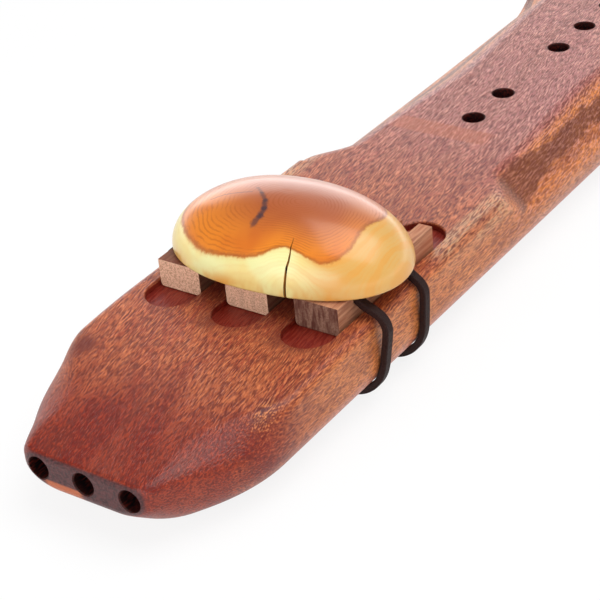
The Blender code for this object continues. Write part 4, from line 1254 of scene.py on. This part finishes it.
def turn_profile(body, lace):
    """Half a turn of the lace across the flute, from the top round to the underside."""
    offset = lace.thickness / 2 + SEAT_GAP
    ledge = (PIPE_PITCH + BLOCK_WIDTH / 2 - LACE_EDGE_EASE, groove_floor(lace) - LACE_EDGE_EASE)
    shoulder = (HALF_WIDTH - body.edge_radius, BODY_TOP - body.edge_radius)
    leave = tangent_turn(ledge, LACE_EDGE_EASE + offset, shoulder, body.edge_radius + offset)
    items = arc(ledge, LACE_EDGE_EASE + offset, math.pi / 2, leave, LEDGE_STEPS)
    items += arc(shoulder, body.edge_radius + offset, leave, 0.0, SHOULDER_STEPS)
    return items + [under_item(body, offset, math.cos(turn), math.sin(turn))
                    for turn in quarter_turns(UNDER_STEPS)]


def side_point(body, lace, z):
    """Where the lace lies on the left side of the body at a height."""
    offset = lace.thickness / 2 + SEAT_GAP
    if z >= GLUE_Z:
        return (-HALF_WIDTH - offset, z, -1.0, 0.0)
    sine = (GLUE_Z - z) / (BOTTOM_BOARD + offset)
    x, height, out_x, out_z = under_item(body, offset, math.sqrt(1 - sine * sine), sine)
    return (-x, height, -out_x, out_z)


def fill_in(items, step):
    """Adds points on the long straight runs."""
    full = [items[0]]
    for first, second in zip(items, items[1:]):
        pieces = max(1, math.ceil(math.dist(first[:2], second[:2]) / step))
        full += [tuple(a + (b - a) * piece / pieces for a, b in zip(first, second))
                 for piece in range(1, pieces + 1)]
    return full


def knot_centre(body):
    """Middle of the knot, which hangs on the left side just under the rounded edge."""
    z = BODY_TOP - body.edge_radius - SEAT_GAP - KNOT_HEIGHT / 2
    return Vector((-HALF_WIDTH - SEAT_GAP - KNOT_DEPTH / 2, (lace_y(-1) + lace_y(1)) / 2, z))


def stand_off(item, bulge):
    """The stiff lace bulges off the upper right edge instead of folding round it."""
    x, z, out_x, out_z = item
    if x < 0:
        return item
    share = smooth_step((BULGE_TOP - z) / BULGE_RUN_DOWN) * smooth_step((z - BULGE_FOOT) / BULGE_RUN_UP)
    return (x + bulge * share * out_x, z + bulge * share * out_z, out_x, out_z)


def lace_strand(body, lace, side):
    """One turn, from the knot over the blocks and under the body back to the bight."""
    knot = knot_centre(body)
    knot_top = knot.z + KNOT_HEIGHT / 2 + SEAT_GAP
    bight_z = knot.z - KNOT_HEIGHT / 2 - SEAT_GAP - lace.width / 2 - BIGHT_RADIUS
    right = turn_profile(body, lace)
    left = [(-x, z, -out_x, out_z) for x, z, out_x, out_z in reversed(right)]
    rise = [side_point(body, lace, knot_top)] + [item for item in left if item[1] > knot_top]
    fall = [item for item in left if item[1] < bight_z and item[0] < 0]
    bulge = FRONT_BULGE if side < 0 else REAR_BULGE
    items = [stand_off(item, bulge) for item in
             fill_in(rise + right + fall + [side_point(body, lace, bight_z)], LACE_STEP)]
    lengths = [0.0]
    for first, second in zip(items, items[1:]):
        lengths.append(lengths[-1] + math.dist(first[:2], second[:2]))
    block_side = -PIPE_PITCH - BLOCK_WIDTH / 2
    ledge = next(length for item, length in zip(items, lengths) if item[0] > block_side - lace.width / 2)
    strand = []
    for (x, z, out_x, out_z), length in zip(items, lengths):
        drawn_in = 1 - smooth_step(length / ledge)
        drawn_in += smooth_step(1 - (lengths[-1] - length) / UNDER_DRAW)
        spread = LACE_SPACING / 2 - (LACE_SPACING / 2 - BIGHT_RADIUS) * drawn_in
        strand.append(((x, knot.y + side * spread, z), (out_x, 0.0, out_z)))
    return strand, bight_z


def lace_route(body, lace):
    """The whole lace: over and round, a tight turn back at the bight, and round again."""
    front, bight_z = lace_strand(body, lace, -1)
    rear, _ = lace_strand(body, lace, 1)
    bight = []
    for step in range(1, BIGHT_STEPS):
        angle = math.pi * step / BIGHT_STEPS
        x, z, out_x, out_z = side_point(body, lace, bight_z + BIGHT_RADIUS * math.sin(angle))
        bight.append(((x, knot_centre(body).y - BIGHT_RADIUS * math.cos(angle), z), (out_x, 0.0, out_z)))
    return front + bight + list(reversed(rear))


def spline(points, steps):
    """A smooth run of points through all the given ones."""
    points = [Vector(point) for point in points]
    full = []
    for index in range(len(points) - 1):
        before, start = points[max(index - 1, 0)], points[index]
        end, after = points[index + 1], points[min(index + 2, len(points) - 1)]
        for step in range(steps):
            t = step / steps
            full.append(start + ((end - before) * t + (2 * before - 5 * start + 4 * end - after) * t ** 2
                                 + (3 * start - before - 3 * end + after) * t ** 3) / 2)
    return full + [points[-1]]


def knot_route(body, lace):
    """An overhand knot drawn tight, with both ends hanging down beside the body."""
    centre = knot_centre(body)
    reach_x = (KNOT_DEPTH - lace.thickness) / 2
    reach_y, reach_z = (KNOT_WIDTH - lace.width) / 2, (KNOT_HEIGHT - lace.width) / 2
    loop = []
    for step in range(KNOT_STEPS + 1):
        turn = KNOT_OPENING + (math.tau - 2 * KNOT_OPENING) * step / KNOT_STEPS - math.pi / 2
        y = (math.sin(turn) + 2 * math.sin(2 * turn)) / 3
        z = (math.cos(turn) - 2 * math.cos(2 * turn)) / 3
        loop.append(centre + Vector((-reach_x * math.sin(3 * turn), reach_y * y, reach_z * z)))

    def tail(point, side):
        ends = [centre + Vector((out * KNOT_DEPTH, side * along * TAIL_SPREAD, up * KNOT_HEIGHT))
                for out, along, up in TAIL_SHAPE]
        return [point] + ends

    side = 1 if loop[0].y > loop[-1].y else -1
    points = list(reversed(tail(loop[0], side)))[:-1] + loop + tail(loop[-1], -side)[1:]
    return [(point, (-1.0, 0.0, 0.0)) for point in spline(points, SPLINE_STEPS)]


def sweep_tree():
    """Node tree that draws a square-cut lace with eased corners along a path, and gives it its leather."""
    tree = bpy.data.node_groups.new("lace_sweep", 'GeometryNodeTree')
    for name, kind in (("Path", 'Geometry'), ("Width", 'Float'), ("Thickness", 'Float'), ("Corner", 'Float'),
                       ("Corner Steps", 'Int'), ("Thinnest", 'Float'), ("Thickest", 'Float'),
                       ("Seed", 'Float'), ("Material", 'Material')):
        tree.interface.new_socket(name, in_out='INPUT', socket_type=f"NodeSocket{kind}")
    tree.interface.new_socket("Lace", in_out='OUTPUT', socket_type='NodeSocketGeometry')
    nodes, link = tree.nodes, tree.links.new
    start, end = nodes.new('NodeGroupInput').outputs, nodes.new('NodeGroupOutput')
    section = nodes.new('GeometryNodeCurvePrimitiveQuadrilateral')
    link(start["Thickness"], section.inputs["Width"])
    link(start["Width"], section.inputs["Height"])
    eased = nodes.new('GeometryNodeFilletCurve')
    eased.mode = 'POLY'
    link(section.outputs[0], eased.inputs["Curve"])
    link(start["Corner"], eased.inputs["Radius"])
    link(start["Corner Steps"], eased.inputs["Count"])
    path = nodes.new('GeometryNodeMeshToCurve')
    link(start["Path"], path.inputs["Mesh"])
    facing = nodes.new('GeometryNodeInputNamedAttribute')
    facing.data_type = 'FLOAT_VECTOR'
    facing.inputs["Name"].default_value = "outward"
    turned = nodes.new('GeometryNodeSetCurveNormal')
    turned.mode = 'FREE'
    link(path.outputs[0], turned.inputs["Curve"])
    link(facing.outputs[0], turned.inputs["Normal"])
    lumps = nodes.new('ShaderNodeTexNoise')
    lumps.noise_dimensions = '4D'
    lumps.inputs["Scale"].default_value = LACE_LUMPS
    link(start["Seed"], lumps.inputs["W"])
    swell = nodes.new('ShaderNodeMapRange')
    link(lumps.outputs["Fac"], swell.inputs["Value"])
    link(start["Thinnest"], swell.inputs["To Min"])
    link(start["Thickest"], swell.inputs["To Max"])
    strand = nodes.new('GeometryNodeCurveToMesh')
    link(turned.outputs[0], strand.inputs["Curve"])
    link(eased.outputs[0], strand.inputs["Profile Curve"])
    link(swell.outputs[0], strand.inputs["Scale"])
    strand.inputs["Fill Caps"].default_value = True
    real = nodes.new('GeometryNodeRealizeInstances')
    link(strand.outputs["Mesh"], real.inputs["Geometry"])
    paint = nodes.new('GeometryNodeSetMaterial')
    link(real.outputs[0], paint.inputs["Geometry"])
    link(start["Material"], paint.inputs["Material"])
    link(paint.outputs[0], end.inputs["Lace"])
    return tree


def lace_piece(name, route, tree, settings, material):
    """A route turned into a lace through the node tree, and baked to a plain mesh."""
    mesh = bpy.data.meshes.new(name)
    mesh.from_pydata([tuple(point) for point, _ in route],
                     [(index, index + 1) for index in range(len(route) - 1)], [])
    facing = mesh.attributes.new("outward", 'FLOAT_VECTOR', 'POINT')
    for index, (_, outward) in enumerate(route):
        before = Vector(route[max(index - 1, 0)][0])
        ahead = (Vector(route[min(index + 1, len(route) - 1)][0]) - before).normalized()
        outward = Vector(outward)
        facing.data[index].vector = (outward - ahead * outward.dot(ahead)).normalized()
    piece = bpy.data.objects.new(name, mesh)
    bpy.context.scene.collection.objects.link(piece)
    modifier = piece.modifiers.new("sweep", 'NODES')
    modifier.node_group = tree
    sockets = {item.name: item.identifier for item in tree.interface.items_tree if item.in_out == 'INPUT'}
    for label, value in (("Width", settings.width), ("Thickness", settings.thickness),
                         ("Corner", settings.corner), ("Corner Steps", LACE_CORNER_STEPS),
                         ("Thinnest", 1 - settings.unevenness), ("Thickest", 1 + settings.unevenness),
                         ("Seed", LACE_SEED), ("Material", material)):
        modifier[sockets[label]] = value
    bake(piece)
    shell = bmesh.new()
    shell.from_mesh(piece.data)
    bmesh.ops.remove_doubles(shell, verts=shell.verts, dist=WELD)
    bmesh.ops.recalc_face_normals(shell, faces=shell.faces)
    shell.to_mesh(piece.data)
    shell.free()
    smooth(piece)
    return piece


class FLUTE_OT_lace(bpy.types.Operator):
    """Builds the doubled leather lace and its knot"""
    bl_idname = "flute.lace"
    bl_label = "Lace"

    def execute(self, context):
        body, lace = context.scene.flute_body, context.scene.flute_lace
        material, tree = leather(lace), sweep_tree()
        for name, route, node in (("leather_lace", lace_route(body, lace), "lace"),
                                  ("tied_knot", knot_route(body, lace), "lace_knot")):
            finish_piece(lace_piece(name, route, tree, lace, material), "leather", "blocks", node)
        return {'FINISHED'}


def add_lamp(name, place, size, power):
    """A flat lamp that faces the flute."""
    lamp = bpy.data.lights.new(name, 'AREA')
    lamp.shape = 'RECTANGLE'
    lamp.size, lamp.size_y = size
    lamp.energy = power
    item = bpy.data.objects.new(name, lamp)
    bpy.context.scene.collection.objects.link(item)
    item.location = place
    item.rotation_euler = (Vector(LAMP_AIM) - Vector(place)).to_track_quat('-Z', 'Y').to_euler()


def floor_material(settings):
    """Matt floor that looks nearly white to the camera and in reflections, and keeps its shadows."""
    material = bpy.data.materials.new("floor")
    material.use_nodes = True
    paint = NodeTree(material.node_tree)
    shader = paint.tree.nodes["Principled BSDF"]
    paint.feed(shader.inputs["Base Color"], settings.floor)
    paint.feed(shader.inputs["Roughness"], FLOOR_ROUGHNESS)
    paint.feed(shader.inputs["Specular IOR Level"], FLOOR_SPECULAR)
    path = paint.node('ShaderNodeLightPath').outputs
    seen = paint.math('MAXIMUM', path["Is Camera Ray"], path["Is Glossy Ray"])
    white = paint.node('ShaderNodeEmission')
    paint.feed(white.inputs["Color"], WHITE)
    mix = paint.node('ShaderNodeMixShader')
    paint.feed(mix.inputs[0], paint.times(seen, FLOOR_WHITE))
    paint.feed(mix.inputs[1], shader.outputs[0])
    paint.feed(mix.inputs[2], white.outputs[0])
    paint.feed(paint.tree.nodes["Material Output"].inputs["Surface"], mix.outputs[0])
    return material


class FLUTE_OT_stage(bpy.types.Operator):
    """Sets up the floor, the soft light and the camera"""
    bl_idname = "flute.stage"
    bl_label = "Stage"

    def floor(self, settings):
        shell = bmesh.new()
        bmesh.ops.create_grid(shell, x_segments=FLOOR_SQUARES, y_segments=FLOOR_SQUARES, size=FLOOR_SIZE)
        mesh = bpy.data.meshes.new("floor")
        shell.to_mesh(mesh)
        shell.free()
        floor = bpy.data.objects.new("floor", mesh)
        bpy.context.scene.collection.objects.link(floor)
        floor.location.z = CAD_BOX[0].z - SEAT_GAP
        mesh.materials.append(floor_material(settings))

    def sky(self, settings):
        """Plain soft light, white to the camera, and bright only low down in reflections."""
        world = bpy.data.worlds.new("studio")
        bpy.context.scene.world = world
        world.use_nodes = True
        air = NodeTree(world.node_tree)
        air.tree.nodes.clear()
        height = air.split(air.node('ShaderNodeTexCoord').outputs["Generated"])[2]
        low = air.plus(*(air.step(height, *band) for band in GLOSS_BANDS))
        path = air.node('ShaderNodeLightPath').outputs
        gloss = air.between(path["Is Glossy Ray"], settings.fill, low)
        back = air.node('ShaderNodeBackground')
        air.feed(back.inputs["Color"], WHITE)
        air.feed(back.inputs["Strength"], air.between(path["Is Camera Ray"], gloss, 1.0))
        air.feed(air.node('ShaderNodeOutputWorld').inputs["Surface"], back.outputs[0])

    def camera(self, scene, lens):
        data = bpy.data.cameras.new("camera")
        data.lens = lens
        data.sensor_width = SENSOR_WIDTH
        data.clip_start, data.clip_end = NEAREST_SEEN, FARTHEST_SEEN
        camera = bpy.data.objects.new("camera", data)
        scene.collection.objects.link(camera)
        turn = Matrix((CAMERA_RIGHT, CAMERA_UP, CAMERA_RIGHT.cross(CAMERA_UP))).transposed()
        camera.matrix_world = Matrix.Translation(CAMERA_PLACE) @ turn.to_4x4()
        scene.camera = camera

    def execute(self, context):
        settings = context.scene.flute_stage
        self.floor(settings)
        self.sky(settings)
        for (name, place, size), power in zip(LAMPS, (settings.key, settings.front, settings.back)):
            add_lamp(name, place, size, power)
        self.camera(context.scene, settings.lens)
        context.scene.view_settings.view_transform = 'Standard'
        return {'FINISHED'}


class FLUTE_PT_panel(bpy.types.Panel):
    """Sizes, colours and build steps of the flute"""
    bl_idname = "FLUTE_PT_panel"
    bl_label = "Triple flute"
    bl_space_type = 'VIEW_3D'
    bl_region_type = 'UI'
    bl_category = "Flute"

    def draw(self, context):
        for step, name, _ in STEPS:
            box = self.layout.box()
            box.operator(step)
            settings = getattr(context.scene, name)
            for setting in settings.__annotations__:
                box.prop(settings, setting)


STEPS = (
    ("flute.body", "flute_body", BodySettings),
    ("flute.blocks", "flute_block", BlockSettings),
    ("flute.slice", "flute_slice", SliceSettings),
    ("flute.lace", "flute_lace", LaceSettings),
    ("flute.stage", "flute_stage", StageSettings),
)
CLASSES = (FLUTE_OT_body, FLUTE_OT_blocks, FLUTE_OT_slice, FLUTE_OT_lace, FLUTE_OT_stage, FLUTE_PT_panel)


def register():
    for _, name, group in STEPS:
        bpy.utils.register_class(group)
        setattr(bpy.types.Scene, name, PointerProperty(type=group))
    for item in CLASSES:
        bpy.utils.register_class(item)


def unregister():
    for item in reversed(CLASSES):
        bpy.utils.unregister_class(item)
    for _, name, group in reversed(STEPS):
        delattr(bpy.types.Scene, name)
        bpy.utils.unregister_class(group)


def main():
    register()
    for operator in (bpy.ops.flute.body, bpy.ops.flute.blocks, bpy.ops.flute.slice, bpy.ops.flute.lace,
                     bpy.ops.flute.stage):
        operator()


if __name__ == "__main__":
    main()
